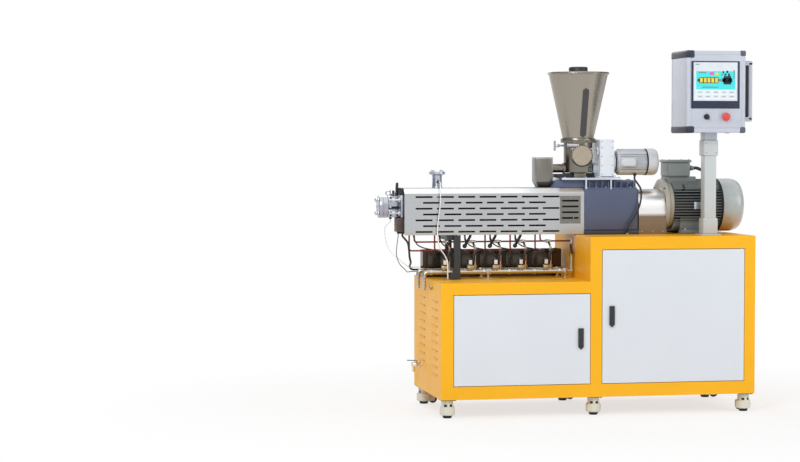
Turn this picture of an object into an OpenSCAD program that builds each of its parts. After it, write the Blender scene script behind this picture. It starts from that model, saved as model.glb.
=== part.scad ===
// Twin-screw extruder on a two-level wheeled cabinet, with a hopper feeder and a swivelling screen

/* [Cabinet] */
// Length of the cabinet
cab_l = 1550; // [1500:10:1700]
// Depth of the cabinet
cab_d = 660; // [640:10:760]
// Length of the low section, from the left side to the step
low_l = 728; // [716:2:760]
// Height of the low deck above the floor
low_h = 641; // [600:1:650]
// Height of the high deck above the floor
high_h = 853; // [850:1:900]
// Height of the frame's underside above the floor
ground_gap = 89; // [88:1:110]
// Depth of the square frame tubes
tube_d = 50; // [40:1:60]
// Wall of the frame tubes
tube_t = 3; // [2:0.5:5]
// Thickness of the deck plates
deck_t = 3; // [2:0.5:5]
// Thickness of the side, rear and bottom skins
skin_t = 2; // [1:0.5:3]
// Length of one louvre in the left side
louvre_l = 120; // [60:5:150]
// Distance from one louvre to the next
louvre_pitch = 39; // [25:1:45]
// Number of louvres in the front column
louvre_n = 10; // [2:1:10]

/* [Doors and latches] */
// Gap between a door and the frame all round
door_gap = 3; // [2.5:0.1:4]
// Depth of a door's folded edge
door_t = 20; // [18:1:22]
// Thickness of the door sheet
door_sheet = 1.5; // [1:0.5:2.5]
// Radius of the hinge pins
pin_r = 4; // [3:0.5:5]
// Running clearance of pins, shafts and axles
run_clear = 0.05; // [0.02:0.01:0.08]
// Width of a latch handle
latch_w = 26; // [20:1:30]
// Length of a latch handle
latch_h = 102; // [80:1:120]

/* [Casters] */
// Caster axis, in from the cabinet's side
caster_in = 40; // [38:1:60]
// Caster axis, in from the cabinet's front and rear
caster_back = 48; // [40:1:70]
// Width of a caster's square plate
caster_plate_w = 73; // [60:1:76]
// Radius of the caster body's bowl
caster_r = 36; // [32:1:38]
// Radius of the caster wheel
wheel_r = 22; // [20:1:22]
// Width of the caster wheel
wheel_w = 22; // [16:1:26]
// Wheel axle, behind the swivel axis
wheel_trail = 44; // [44:1:48]
// Radius of a levelling foot
foot_r = 24; // [20:1:24]

/* [Barrel, screws and cover] */
// Height of the screw and motor axis above the high deck
axis_h = 140; // [138:1:150]
// Distance of the screw and motor axis from the cabinet's front
axis_y = 360; // [340:1:380]
// Reach of the barrel past the cabinet's left side
barrel_over = 111; // [90:1:115]
// Width and height of the barrel blocks
barrel_w = 84; // [70:1:90]
// Width and height of the barrel flanges
flange_w = 108; // [100:1:112]
// Thickness of one barrel flange
flange_t = 12; // [8:1:14]
// Number of barrel blocks
barrel_n = 7; // [7:1:7]
// Outer radius of a screw
screw_r = 10.8; // [10:0.1:10.9]
// Root radius of a screw
screw_root_r = 7; // [6:0.1:7]
// Distance between the two screw axes
screw_gap = 18; // [17.9:0.1:18.5]
// Pitch of the lands on a screw
screw_pitch = 22; // [20:1:30]
// Reach of the cover past the cabinet's left side
cover_over = 125; // [112:1:126]
// Width of the cover
cover_w = 196; // [190:1:200]
// Height of the cover
cover_h = 227; // [222:1:230]
// Fold along the cover's upper edges
cover_fold = 26; // [10:1:34]
// Thickness of the cover sheet
cover_t = 1.5; // [1:0.5:3]
// Length of a slot in the cover
slot_l = 83; // [50:1:92]
// Distance from one slot to the next in a row
slot_pitch = 105; // [98:1:106]
// Distance from one row of slots to the next
row_pitch = 28; // [20:1:29]

/* [Head and vent] */
// Radius of the round die
die_r = 55; // [45:1:60]
// Thickness of the round die
die_t = 44; // [30:1:50]
// Length of the die block behind the round die
die_block_l = 60; // [50:1:70]
// Radius of one strand hole
strand_r = 2; // [1.5:0.1:3]
// Radius of the melt channel
melt_r = 9; // [6:0.5:12]
// Vent stack's axis, right of the second barrel block's left end
vent_in = 39.6; // [38:0.2:80]
// Radius of the vent stack
vent_r = 24.5; // [20:0.5:25]
// Radius of the socket at the top of the vent stack
vent_bore_r = 14; // [8:0.5:16]
// Radius of the vent flange
vent_flange_r = 39.5; // [34:0.5:50]
// Height of the vent flange's top above the cover
vent_h = 79; // [60:1:100]
// Pitch circle radius of the vent flange's bolt holes
vent_pcr = 31; // [30:0.5:33]
// Radius of the vent flange's bolt holes
vent_hole_r = 3.3; // [2:0.1:4]

/* [Gearbox, guard and motor] */
// Length of the gearbox
gear_l = 276; // [260:1:290]
// Width of the gearbox
gear_w = 200; // [198:1:220]
// Height of the gearbox
gear_h = 222; // [216:1:222]
// Length of the coupling guard
guard_l = 138; // [130:1:150]
// Radius of the coupling guard's arch
guard_r = 105; // [90:1:110]
// Radius of the motor body over its fins
motor_r = 130; // [125:1:131]
// Radius of the motor body under its fins
motor_body_r = 112; // [100:1:118]
// Length of the finned motor body
fin_l = 247; // [230:1:260]
// Length of the fan cowl
cowl_l = 111; // [100:1:120]
// Radius of the fan cowl
cowl_r = 131; // [128:1:132]
// Number of motor fins
fin_n = 36; // [24:4:48]
// Radius of the motor shaft
shaft_r = 19; // [14:1:20]
// Length of the terminal box
term_l = 114; // [100:1:130]

/* [Feeder] */
// Hopper axis, right of the step
hopper_x = 34; // [30:1:40]
// Radius of the hopper's rim
hopper_r = 146.5; // [120:1:160]
// Radius of the hopper's lower end
throat_r = 74; // [70:1:78]
// Height of the hopper cone
hopper_h = 332; // [280:1:400]
// Radius of the feeder body
feeder_r = 70.5; // [68:0.5:72]
// Radius of the feeder's round front window
window_r = 49; // [40:1:52]
// Length of the feeder's base plate
plate_l = 303; // [295:1:330]
// Width of the feeder's base plate
plate_w = 200; // [190:1:210]
// Height of the posts under the base plate
post_h = 45; // [44:1:60]
// Width of the drop box
drop_w = 84; // [70:1:90]
// Height of the drop box above its taper
drop_h = 120; // [100:1:140]
// Outer radius of the discharge tube
spout_r = 21.5; // [18:0.5:22]
// Length of the feeder's gear case
case_l = 71; // [60:1:80]
// Height of the feeder's gear case
case_h = 187; // [170:1:200]
// Radius of the feeder motor
fmotor_r = 66.5; // [55:0.5:70]
// Length of the feeder motor
fmotor_l = 238; // [200:1:240]

/* [Screen] */
// Screen column axis, in from the cabinet's right side
column_in = 187; // [180:1:200]
// Screen column axis, back from the cabinet's front
column_y = 152; // [140:1:160]
// Width of the square column
column_w = 60; // [56:1:72]
// Width of the column's collars
collar_w = 74; // [74:1:90]
// Height of the column with its collars
column_h = 462; // [400:1:600]
// Width of the screen box
box_w = 297; // [280:1:400]
// Depth of the screen box
box_d = 240; // [180:1:260]
// Height of the screen box
box_h = 394; // [360:1:450]
// Radius of the stop button
stop_r = 20; // [15:1:20]

/* [Water and cables] */
// Distance of the front water pipe from the cabinet's front
pipe_y = 280; // [276:1:286]
// Radius of the water pipes
pipe_r = 11; // [8:0.5:12]
// Number of solenoid valves
valve_n = 5; // [5:1:5]
// Distance from one solenoid valve to the next, as a share of the low section's length
valve_pitch_share = 0.1731; // [0.165:0.0001:0.178]
// Radius of the hose nozzles
nozzle_r = 8; // [6:0.5:10]
// Length of the hose nozzles
nozzle_l = 65; // [60:1:110]

/* [Hidden] */

$fn = 64;
over = 1;
seat = 0.3;
weld_gap = 0.1;

post_left_w = 60;
post_mid_w = 55;
post_right_w = 53;
rail_bottom_h = 62;
rail_low_h = 56;
rail_high_h = 60;
pin_in = 12;
pin_back = 8;
latch_t = 8;
latch_r = 6;
latch_edge = 46;
wheel_lift = 2;
foot_h = 12;
die_block_w = 80;
die_block_h = 104;
adapter_t = 24;
bolt_ball_r = 9;
bolt_ball_h = 10;
vent_flange_t = 14;
gear_in = 39;
gear_wall = 10;
shield_l = 44;
fin_t = 4;
term_w = 130;
term_h = 83;
hopper_t = 2;
feeder_t = 3;
plate_t = 11;
post_r = 6;
drop_t = 2;
case_w = 160;
stop_travel = 6;
copper_r = 4;
pipe_gap = 150;
screw_clear = 0.3;
cover_gap = 3;
slot_h = 8.5;
louvre_h = 5;

yellow = "#F7B432";
yellow_shade = "#E0A63A";
door_white = "#E2E8F0";
black = "#22242A";
steel = "#B9BCBE";
dark_steel = "#5A5D60";
ivory = "#DEDBCB";
gear_blue = "#505D7A";
motor_green = "#8E9A92";
screen_grey = "#CDD3E2";
copper = "#A65A46";
brass = "#C9B98F";

// Places along the line
axis_z = high_h + axis_h;
barrel_x = -barrel_over;
gear_x = low_l + gear_in;
gear_end = gear_x + gear_l;
motor_x = gear_end + guard_l;
fin_x = motor_x + shield_l;
cowl_x = fin_x + fin_l;
line_end = cowl_x + cowl_l;
barrel_l = gear_x - barrel_x;
block_l = barrel_l / barrel_n;
vent_x = barrel_x + block_l + vent_in;
cover_x = -cover_over;
cover_l = gear_x - cover_x;
cover_z = high_h + cover_gap;
cover_top = cover_z + cover_h;
cover_y = axis_y - cover_w / 2;
die_x = barrel_x - adapter_t - die_block_l - die_t;
line_start = die_x - bolt_ball_h;
gear_top = high_h + gear_h;

// The row origin: centre of the whole footprint, on the floor
latch_gap = 0.3;
front_reach = latch_t + latch_gap;
mid_x = (line_start + line_end) / 2;
mid_y = (cab_d - front_reach) / 2;

// Door openings
open_low_x0 = post_left_w;
open_low_x1 = low_l;
open_high_x0 = low_l + post_mid_w;
open_high_x1 = cab_l - post_right_w;
open_z0 = ground_gap + rail_bottom_h;
open_low_z1 = low_h - rail_low_h;
open_high_z1 = high_h - rail_high_h;
pin_low_x = open_low_x0 + door_gap + pin_in;
pin_high_x = open_high_x1 - door_gap - pin_in;
pin_reach = door_gap + 2 * tube_t;
latch_low_x = open_low_x1 - door_gap - latch_edge;
latch_high_x = open_high_x0 + door_gap + latch_edge;
latch_low_z = (open_z0 + open_low_z1) / 2;
latch_high_z = (open_z0 + open_high_z1) / 2;
latch_pivot_share = 0.2;
keeper_l = 14;
keeper_h = 24;
keeper_t = 3;
keeper_y = door_t + 4;
cam_y = keeper_y + keeper_t + 2;
cam_t = 3;
cam_w = 16;
cam_clear = 1.5;
rear_y = cab_d - skin_t - tube_d;

module painted(paint) {
  color(paint)
    translate([-mid_x, -mid_y, 0])
      children();
}

module block(from, to) {
  translate(from)
    cube(to - from);
}

module rod_x(r, l, from) {
  translate(from)
    rotate([0, 90, 0])
      cylinder(r = r, h = l);
}

module rod_y(r, l, from) {
  translate(from)
    rotate([-90, 0, 0])
      cylinder(r = r, h = l);
}

module rod_z(r, l, from) {
  translate(from)
    cylinder(r = r, h = l);
}

// A six-sided nut or bolt head along X
module hex_x(r, l, from) {
  translate(from)
    rotate([0, 90, 0])
      cylinder(r = r, h = l, $fn = 6);
}

// A revolved shape along X, from points of [place, radius]
module turned_x(points, from) {
  translate(from)
    rotate([0, 90, 0])
      rotate_extrude()
        polygon([for (p = points) [p[1], p[0]]]);
}

// Swept tubes: unit tangents, rounded corners and rings of triangles
function unit(v) = v / norm(v);
function tangent(p, i) =
  i == 0 ? unit(p[1] - p[0]) :
  i == len(p) - 1 ? unit(p[i] - p[i - 1]) :
  unit(unit(p[i + 1] - p[i]) + unit(p[i] - p[i - 1]));
function corner(p, r, n) =
  let (a = unit(p[0] - p[1]), b = unit(p[2] - p[1]))
  let (ang = acos(a * b), turn = 180 - ang)
  let (c = p[1] + unit(a + b) * r / sin(ang / 2))
  let (s = (p[1] + a * r / tan(ang / 2) - c) / r)
  let (e = (p[1] + b * r / tan(ang / 2) - c) / r)
  [for (k = [0 : n]) c + r * (sin((1 - k / n) * turn) * s + sin(k / n * turn) * e) / sin(turn)];
function rounded(p, r, n) = concat(
  [p[0]],
  [for (i = [1 : len(p) - 2]) each corner([p[i - 1], p[i], p[i + 1]], r, n)],
  [p[len(p) - 1]]);
function ring(p, i, r, sides, ref) =
  let (t = tangent(p, i), a = unit(cross(t, ref)), b = cross(a, t))
  [for (k = [0 : sides - 1]) p[i] + r * (cos(360 * k / sides) * a + sin(360 * k / sides) * b)];

module tube(path, r, sides, ref) {
  n = len(path);
  points = [for (i = [0 : n - 1]) each ring(path, i, r, sides, ref)];
  start_cap = [for (k = [1 : sides - 2]) [0, k + 1, k]];
  end_cap = [for (k = [1 : sides - 2]) [for (j = [0, k, k + 1]) (n - 1) * sides + j]];
  walls = [for (i = [0 : n - 2], k = [0 : sides - 1])
    let (a = i * sides + k, b = i * sides + (k + 1) % sides)
    each [[a, b, b + sides], [a, b + sides, a + sides]]];
  polyhedron(points = points, faces = concat(start_cap, walls, end_cap), convexity = 8);
}

// Frame: square tubes butted together, with lugs behind the latches
module hollow(from, to, along) {
  weld = [for (k = [0 : 2]) k == along && along < 2 ? weld_gap : 0];
  inset = [for (k = [0 : 2]) k == along ? -over : tube_t];
  difference() {
    block(from + weld, to - weld);
    block(from + inset, to - inset);
  }
}

module posts() {
  for (y = [0, rear_y]) {
    hollow([skin_t, y, ground_gap], [post_left_w, y + tube_d, low_h - deck_t], 2);
    hollow([low_l, y, ground_gap], [low_l + post_mid_w, y + tube_d, high_h - deck_t], 2);
    hollow([open_high_x1, y, ground_gap], [cab_l - skin_t, y + tube_d, high_h - deck_t], 2);
  }
}

module front_rail(x0, x1, z0, z1, pin_x, pin_z) {
  difference() {
    hollow([x0, 0, z0], [x1, tube_d, z1], 0);
    rod_z(pin_r + run_clear, 2 * tube_t, [pin_x, pin_back, pin_z - tube_t]);
  }
}

module rails() {
  front_rail(open_low_x0, open_low_x1, ground_gap, open_z0, pin_low_x, open_z0);
  front_rail(open_high_x0, open_high_x1, ground_gap, open_z0, pin_high_x, open_z0);
  front_rail(open_low_x0, open_low_x1, open_low_z1, low_h - deck_t, pin_low_x, open_low_z1);
  front_rail(open_high_x0, open_high_x1, open_high_z1, high_h - deck_t, pin_high_x, open_high_z1);
  for (span = [[open_low_x0, open_low_x1], [open_high_x0, open_high_x1]])
    hollow([span[0], rear_y, ground_gap], [span[1], rear_y + tube_d, open_z0], 0);
  hollow([open_low_x0, rear_y, open_low_z1], [open_low_x1, rear_y + tube_d, low_h - deck_t], 0);
  hollow([open_high_x0, rear_y, open_high_z1], [open_high_x1, rear_y + tube_d, high_h - deck_t], 0);
}

module cross_rails() {
  left = [skin_t, post_left_w];
  mid = [low_l, low_l + post_mid_w];
  right = [open_high_x1, cab_l - skin_t];
  for (span = [left, mid, right])
    hollow([span[0], tube_d, ground_gap], [span[1], rear_y, open_z0], 1);
  hollow([left[0], tube_d, open_low_z1], [left[1], rear_y, low_h - deck_t], 1);
  for (span = [mid, right])
    hollow([span[0], tube_d, open_high_z1], [span[1], rear_y, high_h - deck_t], 1);
  for (x = [gear_x + gear_l / 2, fin_x + fin_l / 2])
    hollow([x, tube_d, open_high_z1], [x + post_mid_w, rear_y, high_h - deck_t], 1);
}

module keepers() {
  low_z = latch_low_z - keeper_h / 2;
  high_z = latch_high_z - keeper_h / 2;
  block([low_l - keeper_l, keeper_y, low_z],
    [low_l - weld_gap, keeper_y + keeper_t, low_z + keeper_h]);
  block([open_high_x0 + weld_gap, keeper_y, high_z],
    [open_high_x0 + keeper_l, keeper_y + keeper_t, high_z + keeper_h]);
}

module frame_tubes() {
  painted(yellow) {
    posts();
    rails();
    cross_rails();
    keepers();
  }
}

module deck_plates() {
  painted(yellow) {
    block([0, 0, low_h - deck_t], [low_l, cab_d, low_h]);
    block([low_l - skin_t, 0, high_h - deck_t], [cab_l, cab_d, high_h]);
  }
}

// Skins of the cabinet, with louvres in the left side and in the rear
louvre_y = 150;
louvre_rear_y = 455;
louvre_top_z = 543;

module louvre_slots(y, n) {
  for (i = [0 : n - 1])
    block([-over, y - louvre_l / 2, louvre_top_z - i * louvre_pitch],
      [skin_t + over, y + louvre_l / 2, louvre_top_z - i * louvre_pitch + louvre_h]);
}

rear_vent_n = 6;
rear_vent_l = 260;
rear_vent_z = 480;

module rear_skin(x0, x1, z1) {
  mid = (x0 + x1) / 2;
  difference() {
    block([x0, cab_d - skin_t, ground_gap], [x1, cab_d, z1]);
    for (i = [0 : rear_vent_n - 1], side = [-1, 1])
      translate([mid + side * (rear_vent_l + louvre_pitch) / 2, cab_d,
        rear_vent_z - i * louvre_pitch])
        block([-rear_vent_l / 2, -2 * skin_t, 0], [rear_vent_l / 2, over, louvre_h]);
  }
}

module cabinet_panels() {
  painted(yellow_shade) {
    difference() {
      block([0, 0, ground_gap], [skin_t, cab_d - skin_t - weld_gap, low_h - deck_t]);
      louvre_slots(louvre_y, louvre_n);
      louvre_slots(louvre_rear_y, louvre_n - 1);
    }
    block([cab_l - skin_t, 0, ground_gap], [cab_l, cab_d - skin_t - weld_gap, high_h - deck_t]);
    block([low_l - skin_t, 0, low_h], [low_l, cab_d - skin_t - weld_gap, high_h - deck_t]);
    rear_skin(0, low_l - weld_gap, low_h - deck_t);
    rear_skin(low_l, cab_l, high_h - deck_t);
    block([open_low_x0, tube_d, ground_gap], [low_l, rear_y, ground_gap + skin_t]);
    block([open_high_x0, tube_d, ground_gap], [open_high_x1, rear_y, ground_gap + skin_t]);
  }
}

// Drive and switch gear on a plate inside the high section
gear_plate_l = 560;
gear_plate_h = 520;
gear_plate_t = 3;
gear_plate_z = 210;
drive_w = 150;
drive_h = 260;
drive_d = 130;
contactor_w = 45;
contactor_h = 80;
contactor_d = 80;
contactor_n = 6;
control_margin = 40;

module control_gear() {
  x0 = (open_high_x0 + open_high_x1 - gear_plate_l) / 2;
  y1 = rear_y + tube_d - gear_plate_t;
  y0 = rear_y - gear_plate_t;
  top = gear_plate_z + gear_plate_h;
  painted("#9AA0A6") {
    block([x0, y0, gear_plate_z], [x0 + gear_plate_l, rear_y, top]);
    for (x = [x0 + control_margin, x0 + gear_plate_l - control_margin])
      for (z = [gear_plate_z + control_margin, top - control_margin])
        rod_y(post_r, y1 + gear_plate_t - rear_y, [x, rear_y, z]);
    for (i = [0, 1])
      block([x0 + control_margin + i * (drive_w + control_margin), y0 - drive_d,
        top - control_margin - drive_h],
        [x0 + control_margin + drive_w + i * (drive_w + control_margin), y0,
        top - control_margin]);
    for (i = [0 : contactor_n - 1])
      block([x0 + control_margin + i * contactor_w * 1.4, y0 - contactor_d,
        gear_plate_z + control_margin],
        [x0 + control_margin + i * contactor_w * 1.4 + contactor_w, y0,
        gear_plate_z + control_margin + contactor_h]);
  }
}

// Doors: folded sheets that turn on pins in the rails above and below
lug_h = 20;

module door(x0, x1, z1, pin_x, latch_x, latch_z) {
  z0 = open_z0 + door_gap;
  s = door_sheet;
  lug_x0 = pin_x - pin_in + s / 2;
  lug_x1 = pin_x + pin_in - s / 2;
  difference() {
    union() {
      difference() {
        block([x0, 0, z0], [x1, door_t, z1]);
        block([x0 + s, s, z0 + s], [x1 - s, door_t + over, z1 - s]);
      }
      block([lug_x0, s / 2, z0 + s / 2], [lug_x1, 2 * pin_back, z0 + lug_h]);
      block([lug_x0, s / 2, z1 - lug_h], [lug_x1, 2 * pin_back, z1 - s / 2]);
      rod_z(pin_r, pin_reach + lug_h / 2, [pin_x, pin_back, z0 - pin_reach]);
      rod_z(pin_r, pin_reach + lug_h / 2, [pin_x, pin_back, z1 - lug_h / 2]);
    }
    rod_y(latch_r + run_clear, door_t, [latch_x, -over, latch_z]);
  }
}

module door_low() {
  painted(door_white)
    door(open_low_x0 + door_gap, open_low_x1 - door_gap, open_low_z1 - door_gap, pin_low_x,
      latch_low_x, latch_low_z + latch_h * (1 / 2 - latch_pivot_share));
}

module door_high() {
  painted(door_white)
    door(open_high_x0 + door_gap, open_high_x1 - door_gap, open_high_z1 - door_gap, pin_high_x,
      latch_high_x, latch_high_z + latch_h * (1 / 2 - latch_pivot_share));
}

// Latch: a flat handle with a pointed lower end, its shaft and the cam behind the door
module latch(x, z) {
  pivot_z = z + latch_h * (1 / 2 - latch_pivot_share);
  tip = latch_w / 2;
  translate([x, -latch_gap, z])
    rotate([90, 0, 0])
      linear_extrude(latch_t)
        polygon([[-latch_w / 2, latch_h / 2], [latch_w / 2, latch_h / 2],
          [latch_w / 2, tip - latch_h / 2], [0, -latch_h / 2],
          [-latch_w / 2, tip - latch_h / 2]]);
  rod_y(latch_r, cam_y + cam_t + latch_gap + latch_t / 2, [x, -latch_gap - latch_t / 2, pivot_z]);
  block([x - cam_w / 2, cam_y, pivot_z - latch_edge - door_gap + cam_clear],
    [x + cam_w / 2, cam_y + cam_t, pivot_z + cam_w / 2]);
}

module latch_low() {
  painted(black)
    latch(latch_low_x, latch_low_z);
}

module latch_high() {
  painted(black)
    latch(latch_high_x, latch_high_z);
}

// Casters: three along the front and three along the rear, each with a levelling foot
caster_x = [caster_in, low_l + post_mid_w / 2, cab_l - caster_in];
caster_y = [caster_back, cab_d - caster_back];
caster_turn = [90, 84, 97, 0, 20, -25];
plate_th = 4;
body_top = ground_gap - plate_th - seat;
foot_gap = 2;
body_bottom = foot_h + foot_gap;
body_th = body_top - body_bottom;
neck_r = 28;
stem_r = 8;
stem_gap = 1;
dial_r = 23;
dial_h = 11;
dial_z = body_bottom + body_th * 0.58;
neck_t = 3;
well_r = neck_r - neck_t;
well_gap = 1.5;
axle_r = 4;
axle_z = wheel_r + wheel_lift;
arm_t = 6;
arm_gap = 1;
arm_half = wheel_w / 2 + arm_gap;
slot_x = wheel_trail - wheel_r - 2 * arm_gap;
pad_low_r_share = 0.8;
window_gap_w = 13;

function caster_at(i) = [caster_x[i % 3], caster_y[floor(i / 3)]];

module at_caster(i) {
  at = caster_at(i);
  translate([at[0], at[1], 0])
    children();
}

module caster_body(i) {
  shelf = dial_z - well_gap;
  roof = dial_z + dial_h + well_gap;
  edge = stem_r / 2;
  profile = [[stem_r + stem_gap, body_bottom], [caster_r - edge, body_bottom],
    [caster_r, body_bottom + edge], [caster_r, shelf - edge], [neck_r, shelf + edge],
    [neck_r, body_top], [stem_r + stem_gap, body_top], [stem_r + stem_gap, roof],
    [well_r, roof], [well_r, shelf], [stem_r + stem_gap, shelf]];
  painted(ivory)
    at_caster(i)
      rotate([0, 0, caster_turn[i]]) {
        difference() {
          union() {
            rotate_extrude()
              polygon(profile);
            for (side = [-1, 1])
              translate([0, side * (arm_half + arm_t / 2), 0])
                block([slot_x + over, -arm_t / 2, body_bottom],
                  [wheel_trail + 2 * axle_r, arm_t / 2, shelf - edge]);
          }
          block([slot_x, -arm_half, 0],
            [2 * caster_r, arm_half, axle_z + wheel_r + 2 * arm_gap]);
          for (side = [-1, 1])
            translate([-neck_r, side * window_gap_w, dial_z])
              block([-over, -window_gap_w / 2, 0],
                [neck_r, window_gap_w / 2, dial_h]);
        }
        rod_y(axle_r, 2 * arm_half + 2 * over, [wheel_trail, -arm_half - over, axle_z]);
      }
}

module caster_body_1() { caster_body(0); }
module caster_body_2() { caster_body(1); }
module caster_body_3() { caster_body(2); }
module caster_body_4() { caster_body(3); }
module caster_body_5() { caster_body(4); }
module caster_body_6() { caster_body(5); }

module caster_wheel(i) {
  edge = wheel_r / 8;
  half = wheel_w / 2;
  inner = axle_r + run_clear;
  profile = [[inner, -half], [wheel_r - edge, -half], [wheel_r, edge - half],
    [wheel_r, half - edge], [wheel_r - edge, half], [inner, half]];
  painted(black)
    at_caster(i)
      rotate([0, 0, caster_turn[i]])
        translate([wheel_trail, 0, axle_z])
          rotate([-90, 0, 0])
            rotate_extrude()
              polygon(profile);
}

module caster_wheel_1() { caster_wheel(0); }
module caster_wheel_2() { caster_wheel(1); }
module caster_wheel_3() { caster_wheel(2); }
module caster_wheel_4() { caster_wheel(3); }
module caster_wheel_5() { caster_wheel(4); }
module caster_wheel_6() { caster_wheel(5); }

module levelling_feet() {
  painted(dark_steel)
    for (i = [0 : 5])
      at_caster(i) {
        block([-caster_plate_w / 2, -caster_plate_w / 2, ground_gap - plate_th],
          [caster_plate_w / 2, caster_plate_w / 2, ground_gap]);
        rod_z(stem_r, ground_gap - plate_th / 2 - foot_h / 2, [0, 0, foot_h / 2]);
        rod_z(dial_r, dial_h, [0, 0, dial_z]);
        cylinder(r1 = foot_r * pad_low_r_share, r2 = foot_r, h = foot_h);
      }
}

// Barrel: flanged blocks with a twin bore, heater plates on both sides
vent_port_x = vent_x;
vent_ledge = 2;
vent_channel_r = vent_bore_r - vent_ledge;
feed_in = 146;
feed_x = low_l - feed_in;
feed_port_r = 22;
heater_t = 8;
heater_h = 72;
heater_gap = 2.5;

module twin_bore(x, l, r) {
  for (side = [-1, 1])
    rod_x(r, l, [x, axis_y + side * screw_gap / 2, axis_z]);
}

module barrel_block(i) {
  x = barrel_x + i * block_l;
  difference() {
    union() {
      block([x, axis_y - barrel_w / 2, axis_z - barrel_w / 2],
        [x + block_l, axis_y + barrel_w / 2, axis_z + barrel_w / 2]);
      for (fx = [x, x + block_l - flange_t])
        block([fx, axis_y - flange_w / 2, axis_z - flange_w / 2],
          [fx + flange_t, axis_y + flange_w / 2, axis_z + flange_w / 2]);
    }
    twin_bore(x - over, block_l + 2 * over, screw_r + screw_clear);
    if (x < vent_port_x && vent_port_x < x + block_l)
      rod_z(vent_channel_r, barrel_w, [vent_port_x, axis_y, axis_z]);
    if (x < feed_x && feed_x < x + block_l)
      rod_z(feed_port_r, barrel_w, [feed_x, axis_y, axis_z]);
  }
}

module barrel() {
  painted(dark_steel)
    for (i = [0 : barrel_n - 1])
      barrel_block(i);
}

module barrel_heaters() {
  painted("#3A3632")
    for (i = [0 : barrel_n - 1], side = [-1, 1])
      translate([barrel_x + i * block_l, axis_y + side * (barrel_w + heater_t) / 2, axis_z])
        block([flange_t + heater_gap, -heater_t / 2, -heater_h / 2],
          [block_l - flange_t - heater_gap, heater_t / 2, heater_h / 2]);
}

// Screws: turned lands that interleave, a shank into the gearbox and a pointed tip
tip_l = 16;
land_share = 0.4;
shank_r = 6.5;
shank_l = 90;

module screw(side, phase) {
  l = barrel_l - 2 * over;
  n = floor((l - 2 * tip_l) / screw_pitch) - 1;
  land = screw_pitch * land_share;
  lands = [for (i = [0 : n - 1])
    let (z = tip_l + screw_pitch * (i + phase))
    each [[z, screw_root_r], [z, screw_r], [z + land, screw_r], [z + land, screw_root_r]]];
  points = concat([[0, 0], [tip_l, screw_root_r]], lands,
    [[l, screw_root_r], [l, shank_r], [l + shank_l, shank_r], [l + shank_l, 0]]);
  turned_x(points, [barrel_x + over, axis_y + side * screw_gap / 2, axis_z]);
}

module screw_front() {
  painted(steel)
    screw(-1, 0);
}

module screw_rear() {
  painted(steel)
    screw(1, 1 / 2);
}

// Cover: folded sheet with rows of slots on both long sides and a small vent plate
row_n = 7;
slot_first = 54;
row_first = 35;
vent_plate_l = 104;
vent_plate_h = 135;
vent_plate_t = 2;
vent_plate_n = 4;
vent_plate_in = 18;
vent_plate_x = gear_x - vent_plate_in - vent_plate_l;
vent_plate_top = 40;

module cover_profile(inset) {
  w = cover_w - 2 * inset;
  h = cover_h - inset;
  f = cover_fold - inset / 2;
  polygon([[-w / 2, -inset], [w / 2, -inset], [w / 2, h - f], [w / 2 - f, h], [f - w / 2, h],
    [-w / 2, h - f]]);
}

module cover_body() {
  translate([cover_x, axis_y, cover_z])
    rotate([90, 0, 90])
      linear_extrude(cover_l)
        difference() {
          cover_profile(0);
          cover_profile(cover_t);
        }
}

module slot_row(i) {
  odd = i % 2;
  n = row_n - odd;
  z = cover_top - cover_fold - row_first - i * row_pitch + row_pitch / 2;
  for (k = [0 : n - 1])
    block([cover_x + slot_first + (k + odd * 0.35) * slot_pitch, cover_y - over, z],
      [cover_x + slot_first + (k + odd * 0.35) * slot_pitch + slot_l,
      cover_y + cover_w + over, z + slot_h]);
}

module vent_plate() {
  block([vent_plate_x, cover_y - vent_plate_t, cover_top - vent_plate_top - vent_plate_h],
    [vent_plate_x + vent_plate_l, cover_y, cover_top - vent_plate_top]);
}

module vent_slots() {
  x0 = vent_plate_x + (vent_plate_l - slot_l) / 2;
  for (i = [1 : vent_plate_n]) {
    z = cover_top - vent_plate_top - i * row_pitch;
    block([x0, cover_y - vent_plate_t - over, z], [x0 + slot_l, cover_y + cover_t + over, z + slot_h]);
  }
}

module barrel_cover() {
  painted(steel)
    difference() {
      union() {
        cover_body();
        vent_plate();
      }
      vent_slots();
      for (i = [0 : row_n - 1])
        slot_row(i);
      rod_z(vent_r + over, cover_h, [vent_x, axis_y, axis_z]);
      rod_z(feed_port_r + 3 * over, cover_h, [feed_x, axis_y, axis_z]);
    }
}

// Head: adapter plate, die block and round die, all bored through
strand_pitch = 22;
lip_share = 0.08;
groove_h = 10;
groove_d = 8;
box_w2 = 38;
box_d2 = 60;
box_h2 = 70;
sensor_r = 12;
sensor_h = 32;
eye_r = 11;
eye_bar_r = 2.5;
head_gland_r = 7;
head_gland_l = 8;
box_bottom = axis_z - die_block_h / 2 - box_h2;
head_gland_at = [
  [barrel_x - adapter_t - die_block_l + bolt_ball_r, axis_y - barrel_w / 2,
    axis_z - die_block_h / 2 - head_gland_l],
  [barrel_x - adapter_t - bolt_ball_r, axis_y - barrel_w / 2, box_bottom - head_gland_l],
  [barrel_x - adapter_t + bolt_ball_r, axis_y - barrel_w / 2, box_bottom - head_gland_l]];

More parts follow.
